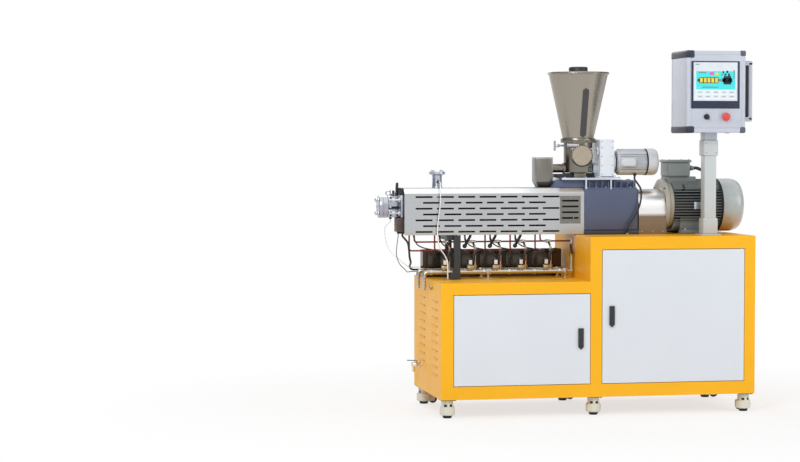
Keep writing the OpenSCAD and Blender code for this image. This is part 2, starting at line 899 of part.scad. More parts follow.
module die_head() {
  block_x = die_x + die_t;
  adapter_x = block_x + die_block_l;
  painted("#A9AEB8") {
    difference() {
      turned_x([[0, 0], [0, die_r * (1 - lip_share)], [die_t * lip_share, die_r],
        [die_t, die_r], [die_t, 0]], [die_x, axis_y, axis_z]);
      rod_x(melt_r + strand_pitch, die_t / 3, [block_x - die_t / 3, axis_y, axis_z]);
      for (k = [-1, 0, 1])
        rod_x(strand_r, die_t, [die_x - over, axis_y + k * strand_pitch, axis_z]);
    }
    difference() {
      block([block_x, axis_y - die_block_w / 2, axis_z - die_block_h / 2],
        [adapter_x, axis_y + die_block_w / 2, axis_z + die_block_h / 2]);
      rod_x(melt_r, die_block_l + 2 * over, [block_x - over, axis_y, axis_z]);
      for (side = [-1, 1])
        translate([0, axis_y + side * (die_block_w - groove_d) / 2, axis_z - groove_h])
          block([block_x - over, -groove_d / 2 - over, -groove_h / 2],
            [adapter_x + over, groove_d / 2 + over, groove_h / 2]);
    }
    difference() {
      block([adapter_x, axis_y - flange_w / 2, axis_z - flange_w / 2],
        [barrel_x, axis_y + flange_w / 2, axis_z + flange_w / 2]);
      rod_x(melt_r + screw_gap / 2, adapter_t + 2 * over, [adapter_x - over, axis_y, axis_z]);
    }
    block([adapter_x - box_w2 / 2, axis_y - die_block_w / 2 - box_d2 / 3,
      axis_z - die_block_h / 2 - box_h2],
      [adapter_x + box_w2 / 2, axis_y + box_d2 / 3, axis_z - flange_w / 2]);
    translate([block_x + die_block_l / 3, axis_y - die_block_w / 4, axis_z + die_block_h / 2])
      cylinder(r1 = sensor_r, r2 = sensor_r / 3, h = sensor_h);
    for (g = head_gland_at)
      rod_z(head_gland_r, head_gland_l, [g[0], g[1], g[2]]);
    translate([block_x + eye_r, axis_y + die_block_w / 4, axis_z + die_block_h / 2 + eye_r])
      rotate([90, 0, 0])
        rotate_extrude()
          translate([eye_r, 0])
            circle(r = eye_bar_r);
  }
}

bolt_out = 32;
clamp_r = 6;
clamp_nut_r = 11;
clamp_nut_l = 14;

module die_bolts() {
  block_x = die_x + die_t;
  adapter_x = block_x + die_block_l;
  painted("#C8CBD2") {
    for (sy = [-1, 1], sz = [-1, 1])
      translate([die_x, axis_y + sy * bolt_out, axis_z + sz * bolt_out])
        rotate([0, -90, 0])
          cylinder(r1 = bolt_ball_r, r2 = bolt_ball_r / 2, h = bolt_ball_h);
    for (sy = [-1, 1], sz = [-1, 1])
      translate([0, axis_y + sy * (die_block_w / 2 + clamp_nut_r), axis_z + sz * bolt_out]) {
        rod_x(clamp_r, die_block_l, [block_x, 0, 0]);
        hex_x(clamp_nut_r, clamp_nut_l, [adapter_x - clamp_nut_l, 0, 0]);
      }
  }
}

lever_base_r = 9;
lever_x = barrel_x - adapter_t - lever_base_r - 2 * over;
lever_stud_h = 12;
lever_grip_r = 7;
lever_grip_l = 58;
lever_lean = 3;

module head_lever() {
  top = axis_z + die_block_h / 2;
  painted(black) {
    rod_z(lever_base_r, lever_stud_h, [lever_x, axis_y, top + seat]);
    translate([lever_x, axis_y, top + seat + lever_stud_h / 2])
      rotate([0, lever_lean, 0])
        cylinder(r = lever_grip_r, h = lever_grip_l);
  }
}

// Vent stack: a flanged pipe that stands on the barrel and comes out through the cover
vent_gland_r = 6;
vent_gland_l = 14;
vent_gland_z = 28;
vent_bore_l = 24;

module vent_stack() {
  base = axis_z + barrel_w / 2;
  top = cover_top + vent_h;
  painted("#A7ACB4")
    difference() {
      union() {
        rod_z(vent_r, top - base - vent_flange_t / 2, [vent_x, axis_y, base]);
        rod_z(vent_flange_r, vent_flange_t, [vent_x, axis_y, top - vent_flange_t]);
        rod_y(vent_gland_r, vent_r + vent_gland_l,
          [vent_x, axis_y - vent_r - vent_gland_l, cover_top + vent_gland_z]);
      }
      rod_z(vent_channel_r, top - base, [vent_x, axis_y, base - over]);
      rod_z(vent_bore_r, vent_bore_l + over, [vent_x, axis_y, top - vent_bore_l]);
      for (k = [0 : 3])
        rotate_hole(k);
    }
}

module rotate_hole(k) {
  top = cover_top + vent_h;
  translate([vent_x, axis_y, top - vent_flange_t - over])
    rotate([0, 0, 45 + 90 * k])
      translate([vent_pcr, 0, 0])
        cylinder(r = vent_hole_r, h = vent_flange_t + 2 * over);
}

// Barrel support: a portal that straddles the water pipes
support_x = 116;
support_w = 31;
support_leg_t = 18;
support_beam_h = 22;
support_span = 220;
support_foot_l = 24;

module barrel_support() {
  y0 = axis_y - support_span / 2;
  y1 = axis_y + support_span / 2;
  beam_z = cover_z - cover_gap;
  painted(black) {
    for (y = [y0, y1 - support_leg_t])
      translate([support_x, y + support_leg_t, low_h])
        rotate([90, 0, 0])
          linear_extrude(support_leg_t)
            polygon([[-support_foot_l, 0], [support_w, 0],
              [support_w, beam_z - low_h], [0, beam_z - low_h],
              [0, 2 * support_foot_l], [-support_foot_l, support_foot_l / 2]]);
    translate([support_x, 0, 0])
      block([-support_w, y0 + support_leg_t, beam_z - support_beam_h],
        [support_w, y1 - support_leg_t, beam_z]);
    block([support_x, axis_y - flange_w / 3, beam_z],
      [support_x + support_w, axis_y + flange_w / 3, axis_z - flange_w / 2]);
  }
}

// Gearbox: a hollow case with bored end walls and an oil box that reaches over the cover
oil_over = 155;
oil_w = 140;
oil_h = 43;
oil_slope = 20;
plinth_h = 20;
plinth_out = 6;
in_shaft_r = 17;

module gearbox_housing() {
  y0 = axis_y - gear_w / 2;
  y1 = axis_y + gear_w / 2;
  lift = cover_top - gear_top + seat;
  painted(gear_blue) {
    difference() {
      union() {
        block([gear_x, y0, high_h], [gear_end, y1, gear_top]);
        block([gear_x, y0 - plinth_out, high_h],
          [gear_end, y1 + plinth_out, high_h + plinth_h]);
      }
      block([gear_x + gear_wall, y0 + gear_wall, high_h + gear_wall],
        [gear_end - gear_wall, y1 - gear_wall, gear_top - gear_wall]);
      twin_bore(gear_x - over, gear_wall + 2 * over, shank_r + run_clear);
      rod_x(in_shaft_r + run_clear, gear_wall + 2 * over,
        [gear_end - gear_wall - over, axis_y, axis_z]);
    }
    translate([gear_x, axis_y + oil_w / 2, gear_top])
      rotate([90, 0, 0])
        linear_extrude(oil_w)
          polygon([[0, 0], [gear_l - plinth_out, 0], [gear_l - plinth_out, oil_h],
            [oil_slope - oil_over, oil_h], [-oil_over, lift], [0, lift]]);
  }
}

// Coupling guard: one bent sheet from the gearbox to the motor
guard_t = 1.5;
guard_spring_z = 115;

module guard_profile(r) {
  union() {
    translate([-r, 0])
      square([2 * r, guard_spring_z]);
    translate([0, guard_spring_z])
      circle(r = r);
  }
}

module coupling_guard() {
  painted(steel)
    translate([gear_end, axis_y, high_h])
      rotate([90, 0, 90])
        linear_extrude(guard_l)
          difference() {
            guard_profile(guard_r);
            guard_profile(guard_r - guard_t);
            translate([-guard_r + guard_t, -over])
              square([2 * (guard_r - guard_t), 2 * over]);
          }
}

// Main motor: end shield, finned body with feet, rotor, cowl and terminal box
motor_bore_r = 80;
motor_wall = 12;
saddle_l = 150;
saddle_w = 100;
foot_block_w = 36;
foot_block_l = 190;
foot_block_h = 22;
foot_web_w = 16;
foot_web_h = 86;
foot_space = 216;
foot_in = 50;
cowl_t = 2;
eye_z_share = 0.95;
motor_eye_r = 14;
motor_eye_bar_r = 5;

module fins() {
  for (k = [0 : fin_n - 1])
    translate([fin_x, axis_y, axis_z])
      rotate([k * 360 / fin_n, 0, 0])
        block([0, -fin_t / 2, motor_body_r - fin_t], [fin_l - motor_wall, fin_t / 2, motor_r]);
}

module motor_feet() {
  for (side = [-1, 1])
    translate([fin_x + foot_in / 2, axis_y + side * foot_space / 2, high_h]) {
      block([0, -foot_block_w / 2, 0], [foot_block_l, foot_block_w / 2, foot_block_h]);
      translate([0, -side * foot_block_w / 2, 0])
        block([0, -foot_web_w / 2, 0], [foot_block_l, foot_web_w / 2, foot_web_h]);
    }
}

module motor_housing() {
  base_z = axis_z + motor_r;
  painted(motor_green)
    difference() {
      union() {
        turned_x([[0, 0], [0, motor_r], [shield_l / 3, motor_r],
          [shield_l, motor_body_r], [shield_l + fin_l - motor_wall, motor_body_r],
          [shield_l + fin_l - motor_wall, motor_r], [shield_l + fin_l, motor_r],
          [shield_l + fin_l, 0]], [motor_x, axis_y, axis_z]);
        fins();
        motor_feet();
        block([motor_x + shield_l / 2, axis_y - saddle_w / 2, axis_z + motor_bore_r],
          [motor_x + shield_l / 2 + saddle_l, axis_y + saddle_w / 2, base_z + motor_wall]);
        translate([fin_x + foot_in, axis_y - motor_r * eye_z_share * 0.7,
          axis_z + motor_r * eye_z_share * 0.7])
          rotate([45, 0, 0])
            rotate([90, 0, 90])
              rotate_extrude()
                translate([motor_eye_r, 0])
                  circle(r = motor_eye_bar_r);
      }
      rod_x(motor_bore_r, shield_l + fin_l - 2 * motor_wall,
        [motor_x + motor_wall, axis_y, axis_z]);
      rod_x(shaft_r + run_clear, shield_l + fin_l + 2 * over, [motor_x - over, axis_y, axis_z]);
    }
}

term_in = 24;
term_x = motor_x + term_in;
lid_t = 12;
lid_out = 5;
gland_r = 14;
gland_l = 26;
gland_h_share = 0.5;

module terminal_box() {
  z0 = axis_z + motor_r + motor_wall;
  painted(motor_green) {
    block([term_x, axis_y - term_w / 2, z0],
      [term_x + term_l, axis_y + term_w / 2, z0 + term_h - lid_t]);
    block([term_x - lid_out, axis_y - term_w / 2 - lid_out, z0 + term_h - lid_t],
      [term_x + term_l + lid_out, axis_y + term_w / 2 + lid_out, z0 + term_h]);
    rod_x(gland_r, gland_l, [term_x + term_l, axis_y - term_w / 4, z0 + term_h * gland_h_share]);
  }
}

cowl_round_share = 0.45;
grille_n = 12;
grille_r = 5;
grille_shares = [0.35, 0.5, 0.65];

module fan_cowl() {
  nose = cowl_l * cowl_round_share;
  flat = cowl_l - nose;
  low = cowl_r * 0.78;
  outer = concat([[0, cowl_r]],
    [for (a = [0 : 15 : 90]) [flat + nose * sin(a), low + (cowl_r - low) * cos(a)]]);
  inner = [for (p = outer) [min(p[0], cowl_l - cowl_t), max(p[1] - cowl_t, low)]];
  profile = concat(outer, [[cowl_l, 0], [cowl_l - cowl_t, 0], [cowl_l - cowl_t, low - cowl_t]],
    [for (k = [len(inner) - 2 : -1 : 0]) inner[k]]);
  painted(motor_green)
    difference() {
      turned_x(profile, [cowl_x, axis_y, axis_z]);
      for (row = grille_shares, k = [0 : grille_n - 1])
        translate([cowl_x, axis_y, axis_z])
          rotate([k * 360 / grille_n, 0, 0])
            rod_x(grille_r, 2 * cowl_l, [0, 0, cowl_r * row]);
    }
}

rotor_r = 76;
fan_r = 100;
fan_blades = 7;
fan_hub_r = 34;
fan_l = 36;
coupling_r = 52;
coupling_gap = 12;

module motor_rotor() {
  rotor_x = motor_x + 3 * motor_wall;
  rotor_l = shield_l + fin_l - 6 * motor_wall;
  fan_x = cowl_x + cowl_l * 0.25;
  painted(dark_steel) {
    rod_x(shaft_r, fan_x + fan_l / 2 - motor_x + guard_l / 3, [motor_x - guard_l / 3, axis_y, axis_z]);
    rod_x(rotor_r, rotor_l, [rotor_x, axis_y, axis_z]);
    rod_x(coupling_r, guard_l - 2 * coupling_gap, [gear_end + coupling_gap, axis_y, axis_z]);
    rod_x(in_shaft_r, gear_l / 3 + 2 * coupling_gap,
      [gear_end - gear_l / 3, axis_y, axis_z]);
    rod_x(fan_hub_r, fan_l, [fan_x, axis_y, axis_z]);
    for (k = [0 : fan_blades - 1])
      translate([fan_x, axis_y, axis_z])
        rotate([k * 360 / fan_blades, 0, 0])
          block([over, -fin_t / 2, fan_hub_r - 2 * over], [fan_l - over, fin_t / 2, fan_r]);
  }
}

// Feeder stand: base plate on four posts over the gearbox
stand_over = 74;
post_in = 12;
post_x = [gear_x + post_in, gear_x + gear_l / 2];
cell_l = 48;
cell_w = 70;
cell_h = 18;
stand_x = low_l - stand_over;
stand_z = gear_top + post_h;
stand_top = stand_z + plate_t;

module feeder_stand() {
  painted("#DDE0E4") {
    block([stand_x, axis_y - plate_w / 2, stand_z],
      [stand_x + plate_l, axis_y + plate_w / 2, stand_top]);
    for (x = post_x, side = [-1, 1])
      rod_z(post_r, post_h, [x, axis_y + side * (plate_w / 2 - post_in), gear_top]);
    block([stand_x - post_in, axis_y - cell_w / 2, stand_top],
      [stand_x - post_in + cell_l, axis_y + cell_w / 2, stand_top + cell_h]);
  }
}

// Feeder body: an upright drum with a round front window, a slot for the gate and two feet
drum_x = low_l + hopper_x;
drum_gap = 24;
drum_z = stand_top + drum_gap;
drum_h = 157;
drum_top = drum_z + drum_h;
spout_z = drum_z + spout_r;
spout_t = 2.5;
window_up = 83;
window_z = drum_z + window_up;
window_out = 6;
window_lip = 6;
gate_down = 26;
gate_z = drum_top - gate_down;
gate_t = 2.5;
gate_r = 60;
ledge_t = 5;
drum_flange_r = 82;
drum_flange_t = 6;
drum_foot_w = 30;
drum_foot_l = 60;
drop_x = feed_x - drop_w / 2;
feeder_axis_r = 8;

module feeder_body() {
  inner = feeder_r - feeder_t;
  drum_back_x = drum_x + feeder_r - feeder_t;
  painted("#A8A69C")
    difference() {
      union() {
        difference() {
          union() {
            rod_z(feeder_r, drum_h, [drum_x, axis_y, drum_z]);
            rod_z(drum_flange_r, drum_flange_t,
              [drum_x, axis_y, drum_top - drum_flange_t]);
            rod_y(window_r + window_lip, feeder_r + window_out,
              [drum_x, axis_y - feeder_r - window_out, window_z]);
            for (side = [-1, 1])
              translate([drum_x, axis_y + side * drum_foot_w, stand_top])
                block([-drum_foot_l / 2, -drum_foot_w / 4, 0],
                  [drum_foot_l / 2, drum_foot_w / 4, drum_z - stand_top + over]);
          }
          rod_z(inner, drum_h, [drum_x, axis_y, drum_z + feeder_t]);
          rod_y(window_r, feeder_r + window_out + over,
            [drum_x, axis_y - feeder_r - window_out - over, window_z]);
        }
        difference() {
          rod_z(feeder_r - feeder_t / 2, ledge_t, [drum_x, axis_y, gate_z - ledge_t]);
          rod_z(gate_r - 2 * ledge_t, 3 * ledge_t, [drum_x, axis_y, gate_z - 2 * ledge_t]);
        }
        rod_x(spout_r, drum_x - feeder_r / 2 - drop_x - drop_w,
          [drop_x + drop_w, axis_y, spout_z]);
      }
      block([drum_x - 2 * feeder_r, axis_y - gate_r - seat, gate_z],
        [drum_x, axis_y + gate_r + seat, gate_z + gate_t + 2 * seat]);
      rod_x(spout_r - spout_t, drum_x - drop_x - drop_w + over,
        [drop_x + drop_w - over, axis_y, spout_z]);
      rod_z(gate_r - 2 * ledge_t, gate_z - drum_z - 2 * ledge_t,
        [drum_x, axis_y, drum_z + ledge_t]);
      rod_x(feeder_axis_r + run_clear, 4 * feeder_t,
        [drum_back_x - feeder_t, axis_y, spout_z]);
    }
}

// Glasses: the feeder's round window and the strip down the hopper
strip_w = 34;
strip_low_share = 0.093;
strip_high_share = 0.717;
strip_turn = 2;
strip_out = 1.5;
pane_t = 5;

module hopper_cone(out) {
  translate([drum_x, axis_y, drum_top])
    cylinder(r1 = throat_r + out, r2 = hopper_r + out, h = hopper_h);
}

module strip_shape() {
  translate([drum_x, axis_y, drum_top])
    rotate([0, 0, strip_turn])
      translate([0, -hopper_r, 0])
        rotate([90, 0, 0])
          translate([0, 0, -hopper_r])
            linear_extrude(2 * hopper_r) {
              translate([-strip_w / 2, hopper_h * strip_low_share])
                square([strip_w, hopper_h * (strip_high_share - strip_low_share)]);
              for (share = [strip_low_share, strip_high_share])
                translate([0, hopper_h * share])
                  circle(r = strip_w / 2);
            }
}

module sight_glasses() {
  painted("#4A4A46") {
    rod_y(window_r, pane_t, [drum_x, axis_y - feeder_r - window_out + over, window_z]);
    intersection() {
      difference() {
        hopper_cone(strip_out);
        hopper_cone(seat);
      }
      strip_shape();
    }
  }
}

// Drop box: a square chute with a taper down to the barrel's feed port
drop_taper = 28;
drop_low_w = 56;
drop_low_z = cover_top;
drop_z = drop_low_z + drop_taper;

module drop_taper_shape(low, high, out) {
  translate([feed_x, axis_y, drop_low_z - out])
    linear_extrude(drop_taper + 2 * out, scale = high / low)
      square([low, low], center = true);
}

module drop_box() {
  half = drop_w / 2;
  t = drop_t;
  painted("#8F8C82")
    difference() {
      union() {
        block([feed_x - half, axis_y - half, drop_z],
          [feed_x + half, axis_y + half, drop_z + drop_h]);
        drop_taper_shape(drop_low_w, drop_w, 0);
        rod_z(feed_port_r + drop_t, drop_low_z - axis_z - barrel_w / 2,
          [feed_x, axis_y, axis_z + barrel_w / 2]);
      }
      block([feed_x - half + t, axis_y - half + t, drop_z],
        [feed_x + half - t, axis_y + half - t, drop_z + drop_h - t]);
      drop_taper_shape(2 * feed_port_r, drop_w - 2 * t, over);
      rod_z(feed_port_r, drop_z - axis_z, [feed_x, axis_y, axis_z]);
      rod_x(spout_r - spout_t, 2 * half, [feed_x, axis_y, spout_z]);
    }
}

// Hopper: a cone with a rolled rim and a clamp flange
rim_r = 5;

module hopper() {
  painted("#A8A69C")
    difference() {
      union() {
        hopper_cone(0);
        rod_z(drum_flange_r, drum_flange_t, [drum_x, axis_y, drum_top]);
        translate([drum_x, axis_y, drum_top + hopper_h - rim_r])
          rotate_extrude()
            translate([hopper_r - over, 0])
              circle(r = rim_r);
      }
      translate([drum_x, axis_y, drum_top - over])
        cylinder(r1 = throat_r - hopper_t, r2 = hopper_r - hopper_t, h = hopper_h + 2 * over);
    }
}

lid_sheet = 3;
knob_r = 46.5;
knob_h = 26;

module hopper_lid() {
  z = drum_top + hopper_h + seat;
  painted(steel) {
    rod_z(hopper_r + rim_r, lid_sheet, [drum_x, axis_y, z]);
    color(black)
      rod_z(knob_r, knob_h, [drum_x, axis_y, z + lid_sheet]);
  }
}

// Gate: a round blade in the drum, with a rod and a cross grip outside
gate_rod_r = 5;
gate_rod_l = 48;
gate_grip_l = 50;

module gate_slide() {
  rod_x0 = drum_x - feeder_r - gate_rod_l;
  mid = gate_z + seat + gate_t / 2;
  painted(steel) {
    rod_z(gate_r - seat, gate_t, [drum_x, axis_y, gate_z + seat]);
    block([drum_x - feeder_r - 2 * over, axis_y - gate_rod_r, gate_z + seat],
      [drum_x - gate_r / 2, axis_y + gate_rod_r, gate_z + seat + gate_t]);
    rod_x(gate_rod_r, gate_rod_l - over, [rod_x0, axis_y, mid]);
    rod_z(gate_rod_r, gate_grip_l, [rod_x0, axis_y, mid - gate_grip_l / 2]);
  }
}

// Feed screw: a shaft with lands that runs through the discharge tube
feed_pitch = 16;
feed_root_r = 6;
feed_clear = 1.5;
feed_land_r = spout_r - spout_t - feed_clear;
feed_land_share = 0.25;

module feed_screw() {
  x0 = drop_x + drop_w + over;
  l = drum_x + feeder_r - feeder_t - over - x0;
  n = floor(l / feed_pitch) - 1;
  case_in = case_l / 3;
  shaft = feeder_t + over + case_gap + case_in;
  lands = [for (i = [0 : n - 1])
    let (z = feed_pitch * (i + 1 / 2), w = feed_pitch * feed_land_share)
    each [[z, feed_root_r], [z, feed_land_r], [z + w, feed_land_r], [z + w, feed_root_r]]];
  painted(steel)
    turned_x(concat([[0, 0], [0, feed_root_r]], lands, [[l, feed_root_r], [l, feeder_axis_r],
      [l + shaft, feeder_axis_r], [l + shaft, 0]]), [x0, axis_y, spout_z]);
}

// Feeder gear case and motor
case_gap = 20;
case_x = drum_x + feeder_r + case_gap;
case_wall = 8;
case_neck_r = 28;
case_foot_h = 7;
case_foot_out = 10;

module feeder_gearbox() {
  painted("#E4E7EC")
    difference() {
      union() {
        block([case_x, axis_y - case_w / 2, stand_top],
          [case_x + case_l, axis_y + case_w / 2, stand_top + case_h]);
        block([case_x - case_foot_out, axis_y - case_w / 2, stand_top],
          [case_x + case_l + case_foot_out, axis_y + case_w / 2,
          stand_top + case_foot_h]);
        rod_x(case_neck_r, case_gap + over, [case_x - case_gap, axis_y, spout_z]);
      }
      block([case_x + case_wall, axis_y - case_w / 2 + case_wall, stand_top + case_wall],
        [case_x + case_l - case_wall, axis_y + case_w / 2 - case_wall,
        stand_top + case_h - case_wall]);
      rod_x(feeder_axis_r + run_clear, case_gap + case_wall + 2 * over,
        [case_x - case_gap - over, axis_y, spout_z]);
    }
}

fmotor_up = 76;
fmotor_z = stand_top + fmotor_up;
fmotor_x = case_x + case_l;
fmotor_flange_l = 13;
fmotor_fin_t = 3;
fmotor_fin_n = 24;
fmotor_cowl_share = 0.24;
fterm_l = 70;
fterm_h = 34;
fgland_r = 8;
fgland_in = 120;
fgland_side = 30;
fgland_drop = 70;

module feeder_motor() {
  body_r = fmotor_r * 0.86;
  cowl_len = fmotor_l * fmotor_cowl_share;
  body_l = fmotor_l - cowl_len;
  edge = fmotor_r / 5;
  painted("#D5D9DE") {
    turned_x([[0, 0], [0, fmotor_r], [fmotor_flange_l, fmotor_r], [fmotor_flange_l, body_r],
      [body_l, body_r], [body_l, fmotor_r], [fmotor_l - edge, fmotor_r],
      [fmotor_l, fmotor_r - edge], [fmotor_l, 0]], [fmotor_x, axis_y, fmotor_z]);
    for (k = [0 : fmotor_fin_n - 1])
      translate([fmotor_x, axis_y, fmotor_z])
        rotate([k * 360 / fmotor_fin_n, 0, 0])
          block([3 * fmotor_flange_l, -fmotor_fin_t / 2, body_r - fmotor_fin_t],
            [body_l - fmotor_flange_l, fmotor_fin_t / 2, fmotor_r - fmotor_fin_t / 2]);
    rod_z(fgland_r, fgland_drop / 2, [fmotor_x + fgland_in, axis_y - fgland_side,
      fmotor_z - fgland_drop]);
    block([fmotor_x + 3 * fmotor_flange_l, axis_y - fmotor_r - fterm_h / 2,
      fmotor_z - fterm_h / 2],
      [fmotor_x + 3 * fmotor_flange_l + fterm_l, axis_y - body_r / 2, fmotor_z + fterm_h / 2]);
  }
}

// Screen column: base plate, collars and post
column_x = cab_l - column_in;
base_w = 100;
base_t = 5;
low_collar_h = 77;
high_collar_h = 77;

module square_z(w, h, z) {
  block([column_x - w / 2, column_y - w / 2, z], [column_x + w / 2, column_y + w / 2, z + h]);
}

neck_h = 35;
neck_w = 65;
column_top = high_h + column_h;
pivot_r = 12;
pivot_l = 30;

module screen_column() {
  painted("#D9DFDC")
    difference() {
      union() {
        square_z(base_w, base_t, high_h);
        square_z(collar_w, low_collar_h, high_h + base_t);
        square_z(column_w, column_h, high_h);
        square_z(collar_w, high_collar_h, column_top - high_collar_h);
      }
      rod_z(pivot_r + run_clear, pivot_l + over, [column_x, column_y, column_top - pivot_l]);
    }
}

// Screen box: aluminium case with neck, corner caps, lock and a side handle
screen_z = column_top + neck_h;
box_back = 13;
screen_y = column_y + box_back - box_d / 2;
screen_x = column_x - box_w / 2;
cap_w = 30;
cap_t = 2;
grip_l = 251;
grip_gap = 25;
grip_out = 61;
grip_arm_h = 22;
grip_arm_w = 26;
grip_y = 85;
grip_z = 192;
bezel_w = 244;
bezel_h = 228;
bezel_in = 22;
bezel_top = 50;
bezel_t = 3;
button_z = 76;
stop_x = 195;
knob_x = 100;
stud_r = 8;
case_t = 4;

module screen_case() {
  x1 = screen_x + box_w;
  y1 = screen_y + box_d;
  difference() {
    block([screen_x, screen_y, screen_z], [x1, y1, screen_z + box_h]);
    block([screen_x + case_t, screen_y + case_t, screen_z + case_t],
      [x1 - case_t, y1 - case_t, screen_z + box_h - case_t]);
    rod_y(stud_r + run_clear, 2 * case_t, [screen_x + stop_x, screen_y - over, screen_z + button_z]);
    rod_y(stud_r + run_clear, 2 * case_t, [screen_x + knob_x, screen_y - over, screen_z + button_z]);
  }
}

module corner_caps() {
  for (fx = [0, 1], fy = [0, 1], fz = [0, 1])
    translate([screen_x + fx * (box_w - cap_w) + (2 * fx - 1) * cap_t,
      screen_y + fy * (box_d - cap_w) + (2 * fy - 1) * cap_t,
      screen_z + fz * (box_h - cap_w) + (2 * fz - 1) * cap_t])
      cube(cap_w);
}

module screen_handle() {
  x1 = screen_x + box_w;
  y = screen_y + grip_y;
  z = screen_z + box_h - grip_z - grip_l / 2;
  difference() {
    block([x1, y - grip_arm_w / 2, z - grip_arm_h],
      [x1 + grip_out, y + grip_arm_w / 2, z + grip_l + grip_arm_h]);
    block([x1 - over, y - grip_arm_w, z], [x1 + grip_gap, y + grip_arm_w, z + grip_l]);
  }
}

module screen_box() {
  painted(screen_grey) {
    screen_case();
    difference() {
      corner_caps();
      block([screen_x, screen_y, screen_z],
        [screen_x + box_w, screen_y + box_d, screen_z + box_h]);
    }
    screen_handle();
    square_z(neck_w, neck_h - seat, column_top + seat);
    rod_z(pivot_r, pivot_l, [column_x, column_y, column_top - pivot_l + 2 * over]);
  }
}

module touch_screen() {
  x0 = screen_x + bezel_in;
  z1 = screen_z + box_h - bezel_top;
  painted("#2B3A52")
    block([x0, screen_y - bezel_t, z1 - bezel_h], [x0 + bezel_w, screen_y, z1]);
}

stop_head_h = 16;

module estop_button() {
  painted("#D8433B")
    translate([screen_x + stop_x, screen_y, screen_z + button_z])
      rotate([90, 0, 0]) {
        rotate_extrude()
          polygon([[0, stop_travel + over], [stop_r - 2 * over, stop_travel + over],
            [stop_r, stop_travel + 2 * over], [stop_r, stop_travel + stop_head_h / 2],
            [stop_r * 0.7, stop_travel + stop_head_h], [0, stop_travel + stop_head_h]]);
        translate([0, 0, -2 * case_t])
          cylinder(r = stud_r, h = 2 * case_t + stop_travel + 2 * over);
      }
}

dial_knob_r = 14;
dial_knob_h = 10;
dial_grip_w = 9;
dial_grip_h = 14;

module selector_knob() {
  painted(black)
    translate([screen_x + knob_x, screen_y, screen_z + button_z])
      rotate([90, 0, 0]) {
        translate([0, 0, seat])
          cylinder(r = dial_knob_r, h = dial_knob_h);
        rotate([0, 0, 30])
          block([-dial_grip_w / 2, -dial_knob_r, dial_knob_h / 2],
            [dial_grip_w / 2, dial_knob_r, dial_knob_h + dial_grip_h]);
        translate([0, 0, -2 * case_t])
          cylinder(r = stud_r, h = 3 * case_t);
      }
}

// Water pipes: two manifolds over the low deck that turn down past the left side
drop_top_z = axis_z - barrel_w / 2;
under_barrel = drop_top_z - low_h;
pipe_h_share = 0.113;
line_high_share = 0.58;
pipe_h = under_barrel * pipe_h_share;
pipe_z = low_h + pipe_h;
nozzle_x = -25;
pipe_end_in = 14;
pipe_end_x = low_l - pipe_end_in;
bend_r = 20;
riser_in = 6;
riser_x = pipe_end_x - riser_in;
riser_tip = 15;
riser_h = under_barrel * (line_high_share - pipe_h_share) + riser_tip;
riser_lever_share = 0.55;
stand_foot_r = 7;
stand_shares = [0.4, 0.93];
boss_h = 3;

module water_pipe(y) {
  tube(rounded([[nozzle_x, y, pipe_z - bend_r - over], [nozzle_x, y, pipe_z],
    [pipe_end_x, y, pipe_z]], bend_r, 4), pipe_r, 12, [0, 1, 0]);
  rod_z(nozzle_r, nozzle_l, [nozzle_x, y, pipe_z - bend_r - nozzle_l]);
}

module water_pipes() {
  painted("#C9C6BC") {
    for (y = [pipe_y, pipe_y + pipe_gap]) {
      water_pipe(y);
      for (x = [low_l * stand_shares[0], low_l * stand_shares[1]])
        rod_z(stand_foot_r, pipe_h - pipe_r / 2, [x, y, low_h]);
    }
    rod_z(stand_foot_r, riser_h, [riser_x, pipe_y, pipe_z]);
    for (i = [0 : valve_n - 1], x = [0, riser_gap])
      rod_z(riser_r + boss_h, pipe_r + boss_h,
        [valve_first_x + i * valve_pitch + x, pipe_y, pipe_z]);
  }
}

// Copper lines: two long lines under the cover, and pairs that drop to them from the barrel
line_side = 38;
line_y = axis_y - line_side;
line_high_z = low_h + under_barrel * line_high_share;
line_low_share = 0.445;
line_low_z = low_h + under_barrel * line_low_share;
drop_in = 20;
drop_first_x = barrel_x + drop_in;
drop_n = 6;
drop_pair = 25;
line_bend = 14;

module copper_lines() {
  painted(copper) {
    tube(rounded([[drop_first_x, line_y, drop_top_z], [drop_first_x, line_y, line_low_z],
      [low_l * 0.8, line_y, line_low_z]], line_bend, 3), copper_r, 8, [0, 1, 0]);
    tube(rounded([[drop_first_x + drop_pair, line_y, drop_top_z],
      [drop_first_x + drop_pair, line_y, line_high_z], [riser_x, line_y, line_high_z],
      [riser_x, pipe_y + stand_foot_r + seat, line_high_z]], line_bend, 3), copper_r, 8, [1, 1, 0]);
    for (i = [1 : drop_n - 1]) {
      x = drop_first_x + i * block_l;
      rod_z(copper_r, drop_top_z - line_low_z, [x, line_y, line_low_z]);
      rod_z(copper_r, drop_top_z - line_high_z, [x + drop_pair, line_y, line_high_z]);
    }
  }
}

// Solenoid valves on the front manifold, each with a riser beside it
valve_first_share = 0.103;
valve_first_x = low_l * valve_first_share;
valve_pitch = low_l * valve_pitch_share;
coil_w = 24;
coil_h = 34;
valve_body_w = 30;
valve_body_h = 18;
riser_gap = 25;
riser_r = 5;
valve_riser_h = 92;

module solenoid_valves() {
  z = pipe_z + pipe_r + boss_h;
  painted(brass)
    for (i = [0 : valve_n - 1]) {
      x = valve_first_x + i * valve_pitch;
      block([x - valve_body_w / 2, pipe_y - valve_body_w / 2, z],
        [x + valve_body_w / 2, pipe_y + valve_body_w / 2, z + valve_body_h]);
      block([x - coil_w / 2, pipe_y - coil_w / 2, z + valve_body_h],
        [x + coil_w / 2, pipe_y + coil_w / 2, z + valve_body_h + coil_h]);
      rod_z(riser_r, valve_riser_h, [x + riser_gap, pipe_y, z]);
    }
}

// Valve lever on the riser at the right end
lever_l = 46;
lever_t = 4;
lever_w = 12;
lever_gap = 0.3;

